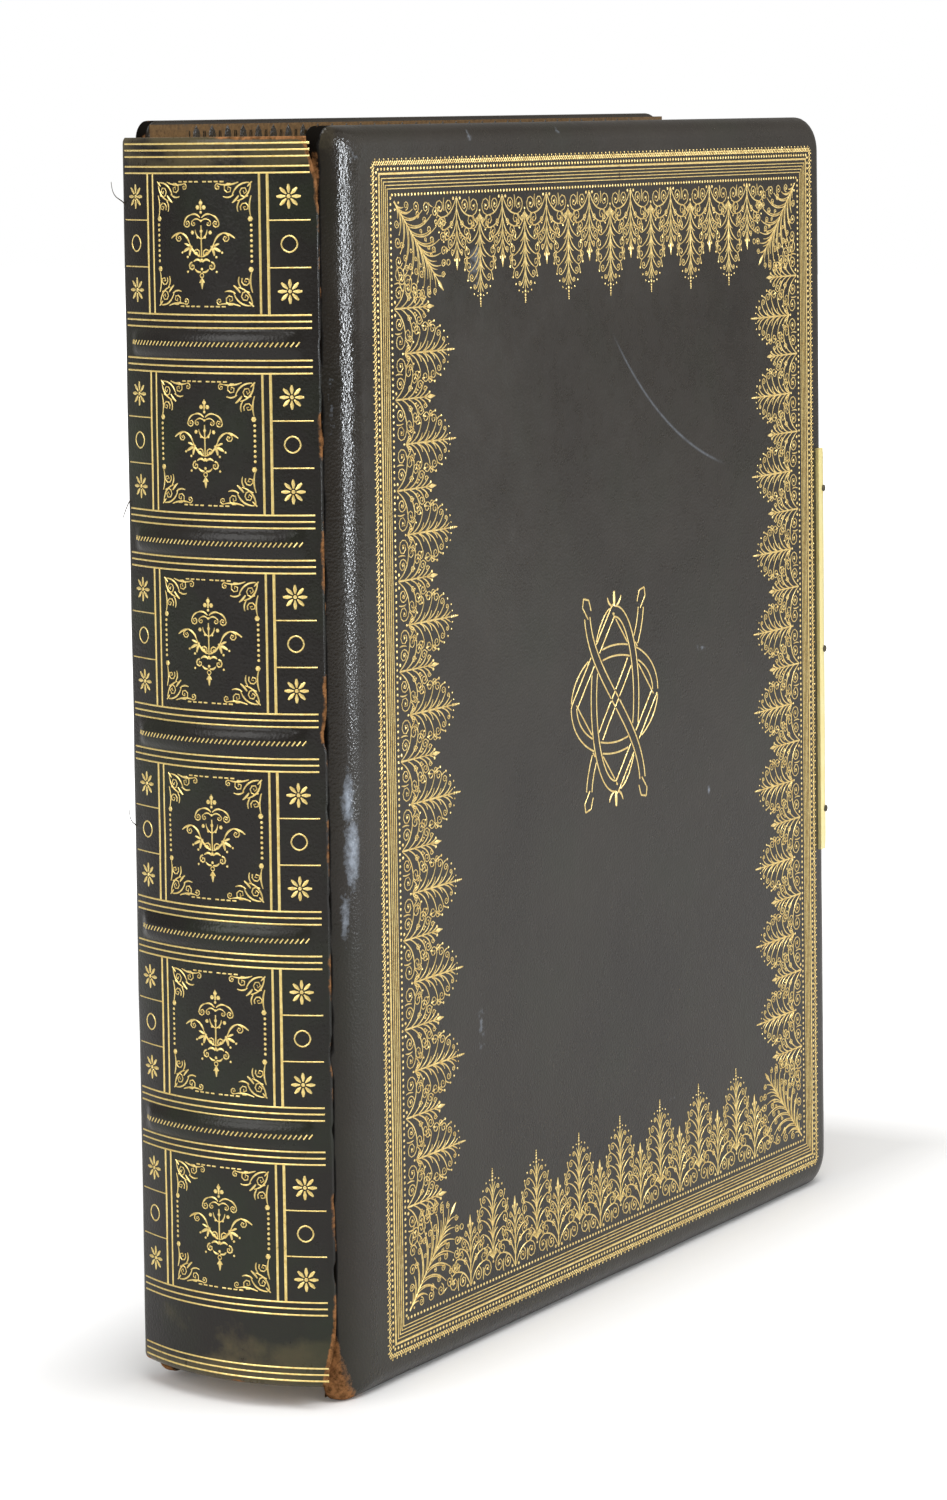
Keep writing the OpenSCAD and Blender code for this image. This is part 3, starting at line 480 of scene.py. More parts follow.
# the leather round a board: rings down the rounded edge, over the turn-in, and back against the board
def coverLeather(name, place, body, node, flip, material):
    thick, skin, turnIn = cover["thick"], cover["skin"], cover["turnIn"]
    bend = np.linspace(0, np.pi / 2, cover["layers"])
    rings = [insideRing(cover["jointIn"] + 6, 0.0), insideRing(cover["jointIn"] + 1, 0.0)]
    rings += [coverRing(0, cover["jointDeep"] * (1 - np.cos(a))) for a in bend]
    rings += [coverRing(0, thick - 0.7), insideRing(0.2, thick - 0.2), insideRing(0.8, thick),
              insideRing(turnIn - 0.3, thick), insideRing(turnIn, thick - 0.2),
              insideRing(turnIn, thick - skin)]
    rings += [coverRing(skin, thick - skin)]
    rings += [coverRing(skin, skin + (cover["jointDeep"] - skin) * (1 - np.cos(a))) for a in bend[::-2]]
    stack = np.stack(rings)
    n = stack.shape[1]
    a, h, depth = stack[..., 0], stack[..., 1], stack[..., 2]
    rowAt = np.arange(len(rings))[:, None]
    outside = (rowAt > 1) & (rowAt <= 2 + len(bend))
    soft = np.sin(np.clip(depth / cover["jointDeep"], 0, 1) * np.pi)
    length = coverWear["waveLength"]
    wave = smoothNoise(a / length, h / length, 11) * coverWear["wave"] * soft * outside
    points = place(a.ravel(), h.ravel(), -(depth - wave).ravel())
    sides = tubeFaces(len(rings), n)
    first = np.arange(n)[None, ::-1]
    last = (len(rings) - 1) * n + np.arange(n)[None, :]
    addMesh(name, points, [sides, first, last], material, body, (node,), flip=flip,
            marks=coverMarks(a, h, depth, outside))


coverLeather("front_cover_leather", onFront, "front_cover", "front_leather", True, frontSkin)
coverLeather("back_cover_leather", onBack, "back_cover", "back_leather", False, leather)
print("album: covers bound")


# spine

spine = {
    "rise": 7.2, "thick": 1.6, "bandWide": 6.2, "bandRise": 1.1, "bandEnd": 4.0, "bandCount": 5,
    "headSpace": 8.0, "tailSpace": 19.5, "lineStep": 1.45, "aroundSteps": 84, "insideSteps": 14,
    "tallSteps": 560,
}
spineWear = {  # pairs are a share or a length, then its reach from the end in millimetres
    "round": 1.3, "ragged": 0.8, "headTear": (2.6, 7.0), "tailTear": (2.2, 8.0), "headRub": (0.52, 8.5),
    "tailRub": (0.58, 16.0), "rimRub": 0.40, "bandRub": 0.22, "rearRub": (0.25, 1.2), "patchRub": 0.1,
    "headRaw": (0.85, 0.8), "tailRaw": (0.8, 0.9),
}
spineHalf = spineHigh[1]
spineEdgeX = spineHigh[0]
spineR = (spineHalf ** 2 + spine["rise"] ** 2) / (2 * spine["rise"])
spineCentre = spineEdgeX - spine["rise"] + spineR
spineTurn = math.asin(spineHalf / spineR)
spineBottom, spineTop = spineLow[2], spineHigh[2]
groupIn = spine["bandWide"] / 2 + 0.5
groupOut = groupIn + 2 * spine["lineStep"]
panelTall = (spineTop - spineBottom - spine["headSpace"] - spine["tailSpace"]
             - spine["bandCount"] * 2 * groupOut) / (spine["bandCount"] + 1)
bandPitch = panelTall + 2 * groupOut
panelHeights = spineTop - spine["headSpace"] - panelTall / 2 - bandPitch * np.arange(spine["bandCount"] + 1)
bandHeights = panelHeights[:-1] - bandPitch / 2
lineHalf = spineHalf - 0.6


# raised bands: rise (1 - (|t - band| / half width)^2.6), faded out towards the joints
def bandSwell(s, t):
    gap = np.min(np.abs(np.asarray(t)[..., None] - bandHeights), axis=-1)
    ridge = np.clip(1 - (gap / (spine["bandWide"] / 2)) ** 2.6, 0, 1)
    reach = (spineTurn * spineR - spine["bandEnd"] - np.abs(s)) / 3.0
    return spine["bandRise"] * ridge * np.clip(reach, 0, 1)


# spine: s round it from its middle towards the front cover, t its height: (cx - r cos(s/R), -r sin(s/R), t)
def onSpine(s, t, out):
    s, t = np.asarray(s, float), np.asarray(t, float)
    r = spineR + bandSwell(s, t) + out + 0.1 * smoothNoise(s / 7.0, t / 8.0, 31)
    turn = np.asarray(s) / spineR
    return np.stack(np.broadcast_arrays(spineCentre - r * np.cos(turn), -r * np.sin(turn), t), -1)


# share exp(-(gap / reach)^power), for a pair of share and reach
def fade(worn, gap, power=2):
    return worn[0] * np.exp(-(gap / worn[1]) ** power)


# how full a rounded end is at a distance from it: 1 - (1 - gap / round)^2
def endFull(gap):
    return np.clip(1 - (1 - np.clip(gap / spineWear["round"], 0, 1)) ** 2, 0, 1)


# wear and bare leather of the outer skin: fades from head, tail and both long edges, broken up by noise
def spineMarks(s, t, full, frontEdge):
    worn, toHead, toTail = spineWear, spineTop - t, t - spineBottom
    wear = fade(worn["headRub"], toHead, 4) * (1 + smoothNoise(s / 6, t / 3, 77))
    wear = wear + fade(worn["tailRub"], toTail, 4) * (1 + 0.8 * smoothNoise(s / 6, t / 4, 78))
    wear = wear + worn["rimRub"] * (fade((1, 2.2), toHead) + fade((1, 2.6), toTail))
    wear = wear + worn["bandRub"] * bandSwell(s, t + s * 0) / spine["bandRise"]
    wear = wear + fade(worn["rearRub"], full + s) + worn["patchRub"] * smoothNoise(s / 5, t / 9, 8)
    patchy = np.clip(smoothNoise(t / 4.2, t * 0, 41) * 1.4 + 0.05, 0, 1)
    ends = fade((1, 12), toHead) + fade((0.8, 14), toTail)
    raw = fade((1, 1.1), frontEdge - s) * (0.28 + 0.4 * patchy + 0.5 * ends)
    raw = raw + fade(worn["headRaw"], toHead) * np.clip((s + 4) / 14, 0, 1)
    torn = np.clip(0.3 + smoothNoise(s / 4, t * 0, 9), 0, 1)
    return wear, raw + fade(worn["tailRaw"], toTail) * torn


# one tube of section points, outer skin and then inner skin, carried up the spine
def spineLeather():
    around, inside, tall = spine["aroundSteps"], spine["insideSteps"], spine["tallSteps"]
    t = np.linspace(spineBottom, spineTop, tall)[:, None]
    full = spineTurn * spineR
    ragged = np.clip(smoothNoise(t / 3.1, t * 0, 21, 4) * 0.9 - 0.25, 0, 0.9)
    tears = fade(spineWear["headTear"], spineTop - t) + fade(spineWear["tailTear"], t - spineBottom)
    frontEdge = full - ragged * spineWear["ragged"] - tears
    s = -full + (frontEdge + full) * np.linspace(0, 1, around)[None, :]
    endRound = endFull(spineTop - t) * endFull(t - spineBottom)
    sideRound = np.clip((full - np.abs(s)) / 1.0, 0, 1) ** 0.5
    out = -0.5 * (1 - endRound) - 0.45 * (1 - sideRound)
    outer = onSpine(s, t + s * 0, out * np.ones_like(s))
    r = spineR - spine["thick"]
    innerS = np.linspace(1, -1, inside)[None, :] * math.acos((spineCentre - spineEdgeX) / r)
    cut = np.minimum(innerS, (frontEdge / spineR) - 0.01)
    inner = np.stack([spineCentre - r * np.cos(cut), -r * np.sin(cut), t + cut * 0], -1)
    grid = np.concatenate([outer, inner], axis=1)
    n = grid.shape[1]
    wear, raw = spineMarks(s, t, full, frontEdge)
    # the inner skin's strong crack mark is painted shade: the inside of the spine goes near black, mixed
    # with raw leather
    pairs = {"crackShade": (raw * 0, 0.9), "wear": (wear, 0.3), "raw": (raw, 0.6)}  # outer skin, inner skin
    marks = {key: np.concatenate([skin, np.full((tall, inside), value)], 1).ravel()
             for key, (skin, value) in pairs.items()}
    low = np.arange(n)[None, ::-1]
    high = (tall - 1) * n + np.arange(n)[None, :]
    addMesh("spine_leather_skin", grid.reshape(-1, 3), [tubeFaces(tall, n), low, high], spineSkin, "leaves",
            ("spine_leather",), marks=marks)


spineLeather()


threads = {  # where round the spine, radius, and height, reach out and rise of each thread, in millimetres
    "at": -26.4, "radius": 0.17, "lines": ((272.0, 3.4, 6.0), (205.0, 2.0, -4.0), (129.0, 1.8, 5.0)),
}


# thin tapered tubes: ring points p + r (a cos t + b sin t) along each bent line
def looseThreads():
    rings, corners = 14, 5
    u = np.linspace(0, 1, rings)[:, None]
    t = (np.arange(corners) * 2 * np.pi / corners)[None, :, None]
    parts = []
    for height, reach, rise in threads["lines"]:
        path = onSpine(*np.concatenate([threads["at"] - 1.2 * u,
                                        height + rise * u ** 1.6 + 0.5 * np.sin(6 * u),
                                        -0.4 + reach * np.sin(1.9 * u) * u ** 0.6], 1).T)
        ahead = np.gradient(path, axis=0)
        ahead /= np.linalg.norm(ahead, axis=1, keepdims=True)
        a = np.cross(ahead, [0.3, 1.0, 0.2])
        a /= np.linalg.norm(a, axis=1, keepdims=True)
        b = np.cross(ahead, a)
        r = threads["radius"] * (1 - 0.6 * u[:, :, None])
        ring = path[:, None] + r * (a[:, None] * np.cos(t) + b[:, None] * np.sin(t))
        foot = np.arange(corners)[None]
        parts.append((ring.reshape(-1, 3), tubeFaces(rings, corners), foot[:, ::-1],
                      (rings - 1) * corners + foot))
    points, faces = joinParts(parts)
    addMesh("loose_threads", points, faces, darkPin, "leaves")


looseThreads()
print("album: spine covered")


# gold tooling: strokes and dots drawn flat, then laid on a surface

giltHigh = 0.11
giltSunk = 0.05


# strokes as arrays: each line of points is resampled to the same number by its own length
def strokeSet(strokes, count=9):
    lines, widths = [], []
    for line, width in strokes:
        line, width = np.asarray(line, float), np.asarray(width, float) * np.ones(len(line))
        step = np.r_[0, np.cumsum(np.linalg.norm(np.diff(line, axis=0), axis=1))]
        at = np.linspace(0, step[-1], count)
        lines.append(np.stack([np.interp(at, step, line[:, 0]), np.interp(at, step, line[:, 1])], -1))
        widths.append(np.interp(at, step, width))
    return np.array(lines), np.array(widths)


# a closed three-sided ribbon along each line: p + n w/2, p raised, p - n w/2
def strokeMesh(lines, widths, place):
    tangent = np.gradient(lines, axis=1)
    tangent /= np.linalg.norm(tangent, axis=-1, keepdims=True) + 1e-9
    normal = np.stack([-tangent[..., 1], tangent[..., 0]], -1)
    half = normal * widths[..., None] / 2
    flat = np.stack([lines + half, lines, lines - half], axis=2)
    out = np.array([-giltSunk, giltHigh, -giltSunk])
    points = place(flat[..., 0], flat[..., 1], np.broadcast_to(out, flat.shape[:3]))
    s, p = lines.shape[:2]
    base = (np.arange(s) * p * 3)[:, None, None]
    sides = (tubeFaces(p, 3)[None] + base).reshape(-1, 4)
    cap = np.array([[2, 1, 0]])[None] + base
    end = np.array([[0, 1, 2]])[None] + (p - 1) * 3 + base
    return points.reshape(-1, 3), sides, np.concatenate([cap.reshape(-1, 3), end.reshape(-1, 3)])


# domes: a base ring, a shoulder ring of 0.68 of its radius, and a top point
def dotMesh(dots, place):
    sides = 6
    dots = np.asarray(dots, float).reshape(-1, 3)
    t = np.arange(sides) * 2 * np.pi / sides
    circle = np.stack([np.cos(t), np.sin(t)], -1)
    shares = np.array([1.0, 0.68])[None, :, None, None]
    x = dots[:, None, None, :2] + dots[:, None, None, 2:] * shares * circle[None, None]
    out = np.broadcast_to(np.array([-giltSunk, giltHigh * 0.75])[None, :, None], x.shape[:3])
    rings = place(x[..., 0], x[..., 1], out).reshape(len(dots), 2 * sides, 3)
    top = place(dots[:, 0], dots[:, 1], np.full(len(dots), giltHigh * 1.25))[:, None]
    points = np.concatenate([rings, top], axis=1)
    j = np.arange(sides)
    k = (j + 1) % sides
    quads = np.stack([j, k, k + sides, j + sides], -1)
    tris = np.stack([j + sides, k + sides, np.full(sides, 2 * sides)], -1)
    base = (np.arange(len(dots)) * (2 * sides + 1))[:, None, None]
    foot = (j[::-1][None] + base[:, 0])
    quads, tris = (quads[None] + base).reshape(-1, 4), (tris[None] + base).reshape(-1, 3)
    return points.reshape(-1, 3), quads, tris, foot


# copies of a motif: each move is (x, z, turn, size)
def stamp(lines, widths, dots, moves):
    moves = np.asarray(moves, float)
    c, s = np.cos(moves[:, 2]), np.sin(moves[:, 2])
    turn = np.stack([np.stack([c, -s], -1), np.stack([s, c], -1)], 1) * moves[:, 3, None, None]
    allLines = np.einsum("mij,spj->mspi", turn, lines) + moves[:, None, None, :2]
    allWidths = np.broadcast_to(widths[None] * moves[:, 3, None, None], allLines.shape[:3])
    spots = np.asarray(dots, float).reshape(-1, 3)
    allDots = np.einsum("mij,dj->mdi", turn, spots[:, :2]) + moves[:, None, :2]
    radii = np.broadcast_to(spots[None, :, 2] * moves[:, 3, None], allDots.shape[:2])[..., None]
    return (allLines.reshape(-1, *lines.shape[1:]), allWidths.reshape(-1, widths.shape[1]),
            np.concatenate([allDots, radii], -1).reshape(-1, 3))


# the strokes and dots of a motif laid at all its places on a surface
def stampedParts(motif, moves, place):
    (lines, widths), dots = motif
    allLines, allWidths, allDots = stamp(lines, widths, dots, moves)
    strokes = [strokeMesh(allLines, allWidths, place)]
    return strokes + [dotMesh(allDots, place)] if len(allDots) else strokes


# a spiral scroll that closes inward: radius r (1 - 0.82 t)
def curl(x, z, r, start, turns, wide):
    t = np.linspace(0, 1, 14)
    angle, radius = start + turns * 2 * np.pi * t, r * (1 - 0.82 * t)
    return np.stack([x + radius * np.cos(angle), z + radius * np.sin(angle)], -1), wide * (1 - 0.25 * t)


# a tapering leaf stroke from p to q, bowed sideways by bend: Bezier of second degree
def sweep(p, q, bend, wide):
    p, q = np.array(p, float), np.array(q, float)
    across = np.array([-(q - p)[1], (q - p)[0]])
    middle = (p + q) / 2 + across * bend
    t = np.linspace(0, 1, 10)[:, None]
    line = (1 - t) ** 2 * p + 2 * t * (1 - t) * middle + t ** 2 * q
    return line, wide * (0.45 + 0.75 * np.sin(np.pi * (0.12 + 0.8 * t[:, 0])))


# a branch from p to q that closes in a spiral on its left, for r > 0, or its right
def scroll(p, q, bend, r):
    wide = 0.46
    line, width = sweep(p, q, bend, wide)
    ahead = line[-1] - line[-2]
    ahead = ahead / np.hypot(*ahead)
    centre = line[-1] + np.array([-ahead[1], ahead[0]]) * r
    start = np.arctan2(*(line[-1] - centre)[::-1])
    return [(line, width), curl(centre[0], centre[1], abs(r), start, 1.45 * np.sign(r), wide * 0.85)]


# a full circle: (x + r cos t, z + r sin t)
def ringStroke(x, z, r, wide):
    t = np.linspace(0, 2 * np.pi, 13)
    return np.stack([x + r * np.cos(t), z + r * np.sin(t)], -1), np.full(13, wide)


# a straight stroke through places on the axis, with a width at each
def stem(places, widths):
    return np.array([(0, z) for z in places]), np.array(widths)


# a motif: its right half mirrored across x = 0, middle strokes, right dots mirrored, dots on the axis
def motifOf(half, middle, dots, axis=(), count=12):
    mirrored = [(np.asarray(line) * [-1, 1], width) for line, width in half]
    return strokeSet(half + mirrored + middle, count), dots + [(-x, z, r) for x, z, r in dots] + list(axis)


# a broad triangle of scrolls on a central stem, widest at the frame, with a trefoil bud as its tip
def palmetteMotif():
    half = [
        sweep((0.3, 0.6), (7.4, 4.9), 0.34, 0.5), curl(7.6, 2.6, 2.2, 1.7, -1.7, 0.42),
        curl(3.5, 2.3, 1.75, 1.4, -1.7, 0.42),
        curl(9.3, 6.0, 0.8, 2.6, 1.3, 0.36), sweep((7.4, 4.9), (9.6, 6.8), 0.2, 0.42),
        sweep((5.6, 0.4), (5.6, 3.4), -0.15, 0.45), sweep((0.2, 3.2), (6.6, 7.9), 0.36, 0.48),
        curl(6.1, 6.1, 1.75, 1.6, -1.6, 0.42), sweep((0.2, 5.8), (4.9, 10.2), 0.34, 0.48),
        curl(4.3, 8.7, 1.5, 1.5, -1.5, 0.42), curl(2.2, 6.6, 0.9, 1.4, -1.4, 0.38),
        sweep((0.2, 8.4), (3.5, 12.4), 0.30, 0.46), curl(2.9, 11.0, 1.25, 1.4, -1.4, 0.40),
        curl(1.5, 9.2, 0.7, 1.4, -1.3, 0.36), sweep((0.2, 10.8), (2.2, 14.0), 0.16, 0.44),
        curl(1.9, 13.1, 0.75, 1.4, -1.2, 0.36), sweep((0.2, 12.8), (1.2, 15.2), 0.16, 0.44),
    ]
    middle = [stem((0.2, 7, 14.4), (0.7, 0.55, 0.4)), stem((14.2, 15.5, 17.4), (0.5, 1.6, 0.3)),
              ringStroke(3.9, 15.4, 0.7, 0.3), ringStroke(-3.9, 15.4, 0.7, 0.3)]
    dots = [(1.5, 0.6, 0.5), (7.6, 2.6, 0.4), (3.5, 2.3, 0.35), (7.9, 8.3, 0.34), (5.9, 10.6, 0.34),
            (4.4, 12.8, 0.32), (1.0, 15.0, 0.48), (2.3, 7.4, 0.26), (1.8, 9.9, 0.25)]
    return motifOf(half, middle, dots)


# a spindle that stands between two palmettes: narrow foot, ear volutes, spikes with dots, beaded tip
def pendantMotif():
    half = [sweep((0.1, 4.6), (1.3, 7.0), -0.3, 0.5)]
    half += scroll((0.2, 4.6), (2.6, 7.9), 0.28, -1.00) + scroll((0.2, 6.8), (4.5, 11.2), 0.28, -1.45)
    half += scroll((0.2, 9.8), (5.2, 14.8), 0.28, -1.50) + scroll((0.2, 12.8), (4.6, 17.9), 0.26, -1.30)
    half += scroll((0.2, 15.8), (3.4, 20.2), 0.24, -1.00) + scroll((0.2, 18.6), (2.1, 22.0), 0.20, -0.65)
    half += [sweep((0.3, 9.4), (2.2, 11.6), 0.30, 0.42), sweep((0.3, 12.4), (2.4, 14.6), 0.30, 0.42),
             sweep((0.3, 15.4), (1.9, 17.6), 0.28, 0.40), sweep((0.2, 20.6), (1.2, 22.8), 0.1, 0.42),
             sweep((5.6, 14.4), (6.9, 17.0), -0.15, 0.5), sweep((4.9, 18.0), (5.6, 19.8), -0.15, 0.42)]
    dots = [(7.0, 17.4, 0.42), (5.7, 20.0, 0.36), (4.4, 21.7, 0.34), (2.9, 23.3, 0.30), (6.1, 12.2, 0.36),
            (1.3, 23.7, 0.26)]
    tip = [(0, 3.7, 0.4), (0, 23.5, 0.48), (0, 24.4, 0.42), (0, 25.1, 0.36), (0, 25.7, 0.3),
           (0, 26.2, 0.24)]
    return motifOf(half, [stem((4.2, 14, 23.0), (0.5, 0.7, 0.45))], dots, tip)


# a large fan of leaves and scrolls on the diagonal, drawn out to a bud; kept inside |x| < z
def cornerMotif():
    volutes = [(2.9, 5.4, 1.15), (5.6, 8.7, 1.5), (8.5, 12.0, 1.6), (10.5, 15.6, 1.55), (10.2, 19.1, 1.5),
               (8.7, 22.1, 1.4), (6.7, 24.6, 1.3), (4.6, 26.6, 1.1), (2.6, 28.3, 0.85)]
    half = [curl(x, z, r, 2.6 - 0.22 * k, -1.7, 0.42) for k, (x, z, r) in enumerate(volutes)]
    half += [sweep((0.1, 2.0 + 2.5 * k), (x - 1.0 * r, z - 0.5 * r), 0.26, 0.46)
             for k, (x, z, r) in enumerate(volutes)]
    half += [sweep((0.1, 3.2 + 2.5 * k), (0.62 * x, 0.9 * z), 0.24, 0.36)
             for k, (x, z, r) in enumerate(volutes[1:])]
    half += [sweep((x + r, z), (x + 0.7 * r + 1.0, z + 1.9), 0.2, 0.4) for x, z, r in volutes[2:7]]
    half += [curl(0.56 * x, 0.86 * z, 0.95, 2.4 - 0.2 * k, -1.5, 0.38)
             for k, (x, z, r) in enumerate(volutes[2:7])]
    half += [curl(0.24 * x + 0.5, 0.80 * z + 1.6, 0.62, 2.0 - 0.2 * k, -1.3, 0.34)
             for k, (x, z, r) in enumerate(volutes[3:7])]
    middle = [stem((1.0, 10, 27.8), (0.8, 0.6, 0.4)), stem((27.2, 28.8, 30.8), (0.5, 1.6, 0.3))]
    dots = [(1.1, 2.6, 0.4)] + [(x + 0.2, z, 0.3) for x, z, r in volutes[1:8]]
    return motifOf(half, middle, dots)


border = {
    "lace": 1.7, "pearl": 1.5, "fillet": 0.85, "line": 0.36, "lineShown": 0.30, "filletShown": 0.62,
    "lineStep": 0.80, "lineCount": 4, "pitch": 20.8, "reach": 35.0, "cornerLap": 2.0, "pearlPitch": 1.42,
    "lacePitch": 1.9, "loopIn": 1.1, "picotIn": 0.2,
}
frameWide = frameHigh[0] - frameLow[0]
frameTall = frameHigh[2] - frameLow[2]
filletIn = border["lace"] + border["pearl"]
linesIn = filletIn + border["fillet"] + border["line"]
borderIn = linesIn + border["lineCount"] * border["lineStep"] + border["pearl"]


# places along one side of the frame, pointing inward: the side's own axes turned by 90 degrees each
def sideMoves(side, along, inset, turn=0.0):
    length = frameTall if side % 2 == 0 else frameWide
    a = side * np.pi / 2
    along = np.atleast_1d(np.asarray(along, float))
    down = inset - length / 2
    x = np.cos(a) * along - np.sin(a) * down
    z = np.sin(a) * along + np.cos(a) * down
    return np.stack(np.broadcast_arrays(x, z, a + turn, 1.0), -1)


# the frame's length along a side: 0 and 2 run across, 1 and 3 run up
def sideLength(side):
    return frameWide if side % 2 == 0 else frameTall


# a mitred band: a section of (inset, out) points carried round a rectangle about a centre
def mitredBand(section, centre, wide, tall, place):
    rows = []
    for inset, out in section:
        x, z = (wide / 2 - inset) * np.array([-1, 1, 1, -1]), (tall / 2 - inset) * np.array([-1, -1, 1, 1])
        rows.append(place(centre[0] + x, centre[1] + z, np.full(4, out)))
    return np.stack(rows, 1).reshape(-1, 3), tubeFaces(4, 4, closeRows=True)[:, ::-1]


# a flat gold band between two insets of the frame, with chamfered edges
def rectRibbon(insetA, insetB, place):
    edge = min(0.12, (insetB - insetA) / 4)
    section = [(insetA, -giltSunk), (insetA + edge, giltHigh), (insetB - edge, giltHigh),
               (insetB, -giltSunk)]
    return mitredBand(section, (0, 0), frameWide, frameTall, place)


# places measured from the middle of the gilt frame
def framePlacer(place):
    centreX = (frameLow[0] + frameHigh[0]) / 2 - frontLow[0]
    centreZ = (frameLow[2] + frameHigh[2]) / 2 - frontLow[2]
    return lambda x, z, out: place(centreX + x, centreZ + z, out)


# evenly spread places along a length, about its middle: (i + 1/2) length / count - length / 2
def spread(length, pitch):
    count = round(length / pitch)
    return (np.arange(count) + 0.5) * length / count - length / 2


# fillet and fine lines, pearl rows on both sides of them, and a lace edge of crossed loops with picots
def frameParts(place):
    parts = [rectRibbon(filletIn, filletIn + border["filletShown"], place)]
    parts += [rectRibbon(linesIn + i * border["lineStep"],
                         linesIn + i * border["lineStep"] + border["lineShown"], place)
              for i in range(border["lineCount"])]
    pearls, loops, picots = [], [], []
    for side in range(4):
        for inset, size in ((border["lace"] + border["pearl"] / 2, 0.47),
                            (borderIn - border["pearl"] / 2, 0.45)):
            moves = sideMoves(side, spread(sideLength(side) - 2 * inset, border["pearlPitch"]), inset)
            pearls.append(np.column_stack([moves[:, :2], np.full(len(moves), size)]))
        along = spread(sideLength(side) - 2 * border["loopIn"], border["lacePitch"])
        loops.append(sideMoves(side, along, border["loopIn"]))
        moves = sideMoves(side, along, border["picotIn"])
        picots.append(np.column_stack([moves[:, :2], np.full(len(moves), 0.24)]))
    loop = strokeSet([([(-0.95, -0.5), (0, 0.5), (0.95, -0.5)], 0.27),
                      ([(-0.95, 0.5), (0, -0.5), (0.95, 0.5)], 0.27),
                      ([(0, -0.5), (0, -0.75), (0, -1.0)], 0.3)], 7)
    parts += stampedParts((loop, []), np.concatenate(loops), place)
    return parts + [dotMesh(np.concatenate(pearls + picots), place)]


# one gilt piece from its parts, with flat faces that catch the light
def addGilt(name, parts, body, replaces, material=None, flip=False):
    points, faces = joinParts(parts)
    addMesh(name, points, faces, material or gilt, body, replaces, flip=flip, smooth=False)


# one motif repeated along the four sides of the frame, as many times as fit, and extra ones at the ends
def rowParts(motif, extra, place):
    moves = []
    for side in range(4):
        free = sideLength(side) - 2 * (border["reach"] - border["cornerLap"])
        count = max(1, int(free // border["pitch"])) + extra
        moves.append(sideMoves(side, (np.arange(count) - (count - 1) / 2) * border["pitch"], borderIn))
    return stampedParts(motif, np.concatenate(moves), place)


# the corner motif on the four diagonals
def cornerParts(place):
    moves = [sideMoves(side, borderIn - sideLength(side) / 2, borderIn, -np.pi / 4) for side in range(4)]
    return stampedParts(cornerMotif(), np.concatenate(moves), place)


frontFrame = framePlacer(onFront)
backFrame = framePlacer(onBack)
addGilt("front_frame_tooling", frameParts(frontFrame), "front_cover", ("front_frame_gilt",))
addGilt("front_palmette_tooling", rowParts(palmetteMotif(), 1, frontFrame) + cornerParts(frontFrame),
        "front_cover", ("front_border_gilt",))
addGilt("front_pendant_tooling", rowParts(pendantMotif(), 0, frontFrame), "front_cover",
        ("front_border_gilt",))
addGilt("back_frame_tooling", frameParts(backFrame), "back_cover", ("back_frame_gilt",), flip=True)
print("album: covers tooled")


ornament = {"tall": 54.0, "wide": 44.0, "line": 0.66, "strap": 2.7, "lift": 2.5}


# each strap as two edge lines, left out where it dips under another: the first is above where x z > 0
def lacedStraps(straps, width, line):
    half = width / 2
    edges = []
    for i, centre in enumerate(straps):
        tangent = np.gradient(centre, axis=0)
        tangent /= np.linalg.norm(tangent, axis=1, keepdims=True) + 1e-9
        across = np.stack([-tangent[:, 1], tangent[:, 0]], -1) * half
        for side in (-1, 1):
            edge = centre + side * across
            shown = np.ones(len(edge), bool)
            for j, other in enumerate(straps):
                if i != j:
                    apart = np.min(np.linalg.norm(edge[:, None] - other[None], axis=-1), axis=1)
                    near = apart < half + line * 0.6
                    above = (edge[:, 0] * edge[:, 1] > 0) == (i < j)
                    shown &= ~(near & ~above)
            cuts = np.flatnonzero(np.diff(np.r_[False, shown, False].astype(int)))
            edges += [(edge[a:b], line) for a, b in zip(cuts[::2], cuts[1::2]) if b - a > 4]
    return edges


# two ovals laced through a lozenge and two crossing straps with curled ends, drawn as pairs of gold lines
def ornamentParts(place):
    raised = lambda x, z, out: place(x, z + ornament["lift"], out)
    t = np.linspace(0, 2 * np.pi, 400)
    half, w, h = ornament["strap"] / 2, ornament["wide"] / 2, ornament["tall"] / 2
    ovals = [np.stack([(a - half) * np.cos(t), (b - half) * np.sin(t)], -1)
             for a, b in ((w * 0.55, h * 0.86), (w, h / 2))]
    corners = np.array([[w - half, 0], [0, h * 0.84], [half - w, 0], [0, -h * 0.84], [w - half, 0]])
    share = np.linspace(0, 1, 100, False)[:, None]
    lozenge = [corners[k] + (corners[k + 1] - corners[k]) * share for k in range(4)] + [corners[:1]]
    u = np.linspace(-1, 1, 260)
    crossing = [np.stack([side * (0.62 * w * np.sin(u * 1.45)), 0.80 * h * u], -1) for side in (-1, 1)]
    strokes = lacedStraps(ovals + [np.concatenate(lozenge)] + crossing, ornament["strap"], ornament["line"])
    for sx in (-1, 1):
        for sz in (-1, 1):
            hook = np.array([[0.60, 0.79], [0.72, 0.90], [0.70, 0.98], [0.58, 0.96], [0.53, 0.86]])
            strokes.append((hook * [sx * w, sz * h], ornament["line"]))
    lines, widths = strokeSet(strokes, 40)
    buds = []
    for sign in (1, -1):
        foot, tip = sign * h * 0.86, sign * h
        buds += [sweep((0, foot), (0, tip), 0, 1.5),
                 sweep((0.8, foot), (3.4, foot + sign * 2.4), -0.3 * sign, 0.8),
                 sweep((-0.8, foot), (-3.4, foot + sign * 2.4), 0.3 * sign, 0.8)]
    budLines, budWidths = strokeSet(buds)
    return [strokeMesh(lines, widths, raised), strokeMesh(budLines, budWidths, raised)]


addGilt("front_ornament_tooling", ornamentParts(frontFrame), "front_cover", ("front_ornament_gilt",))


# spine tooling

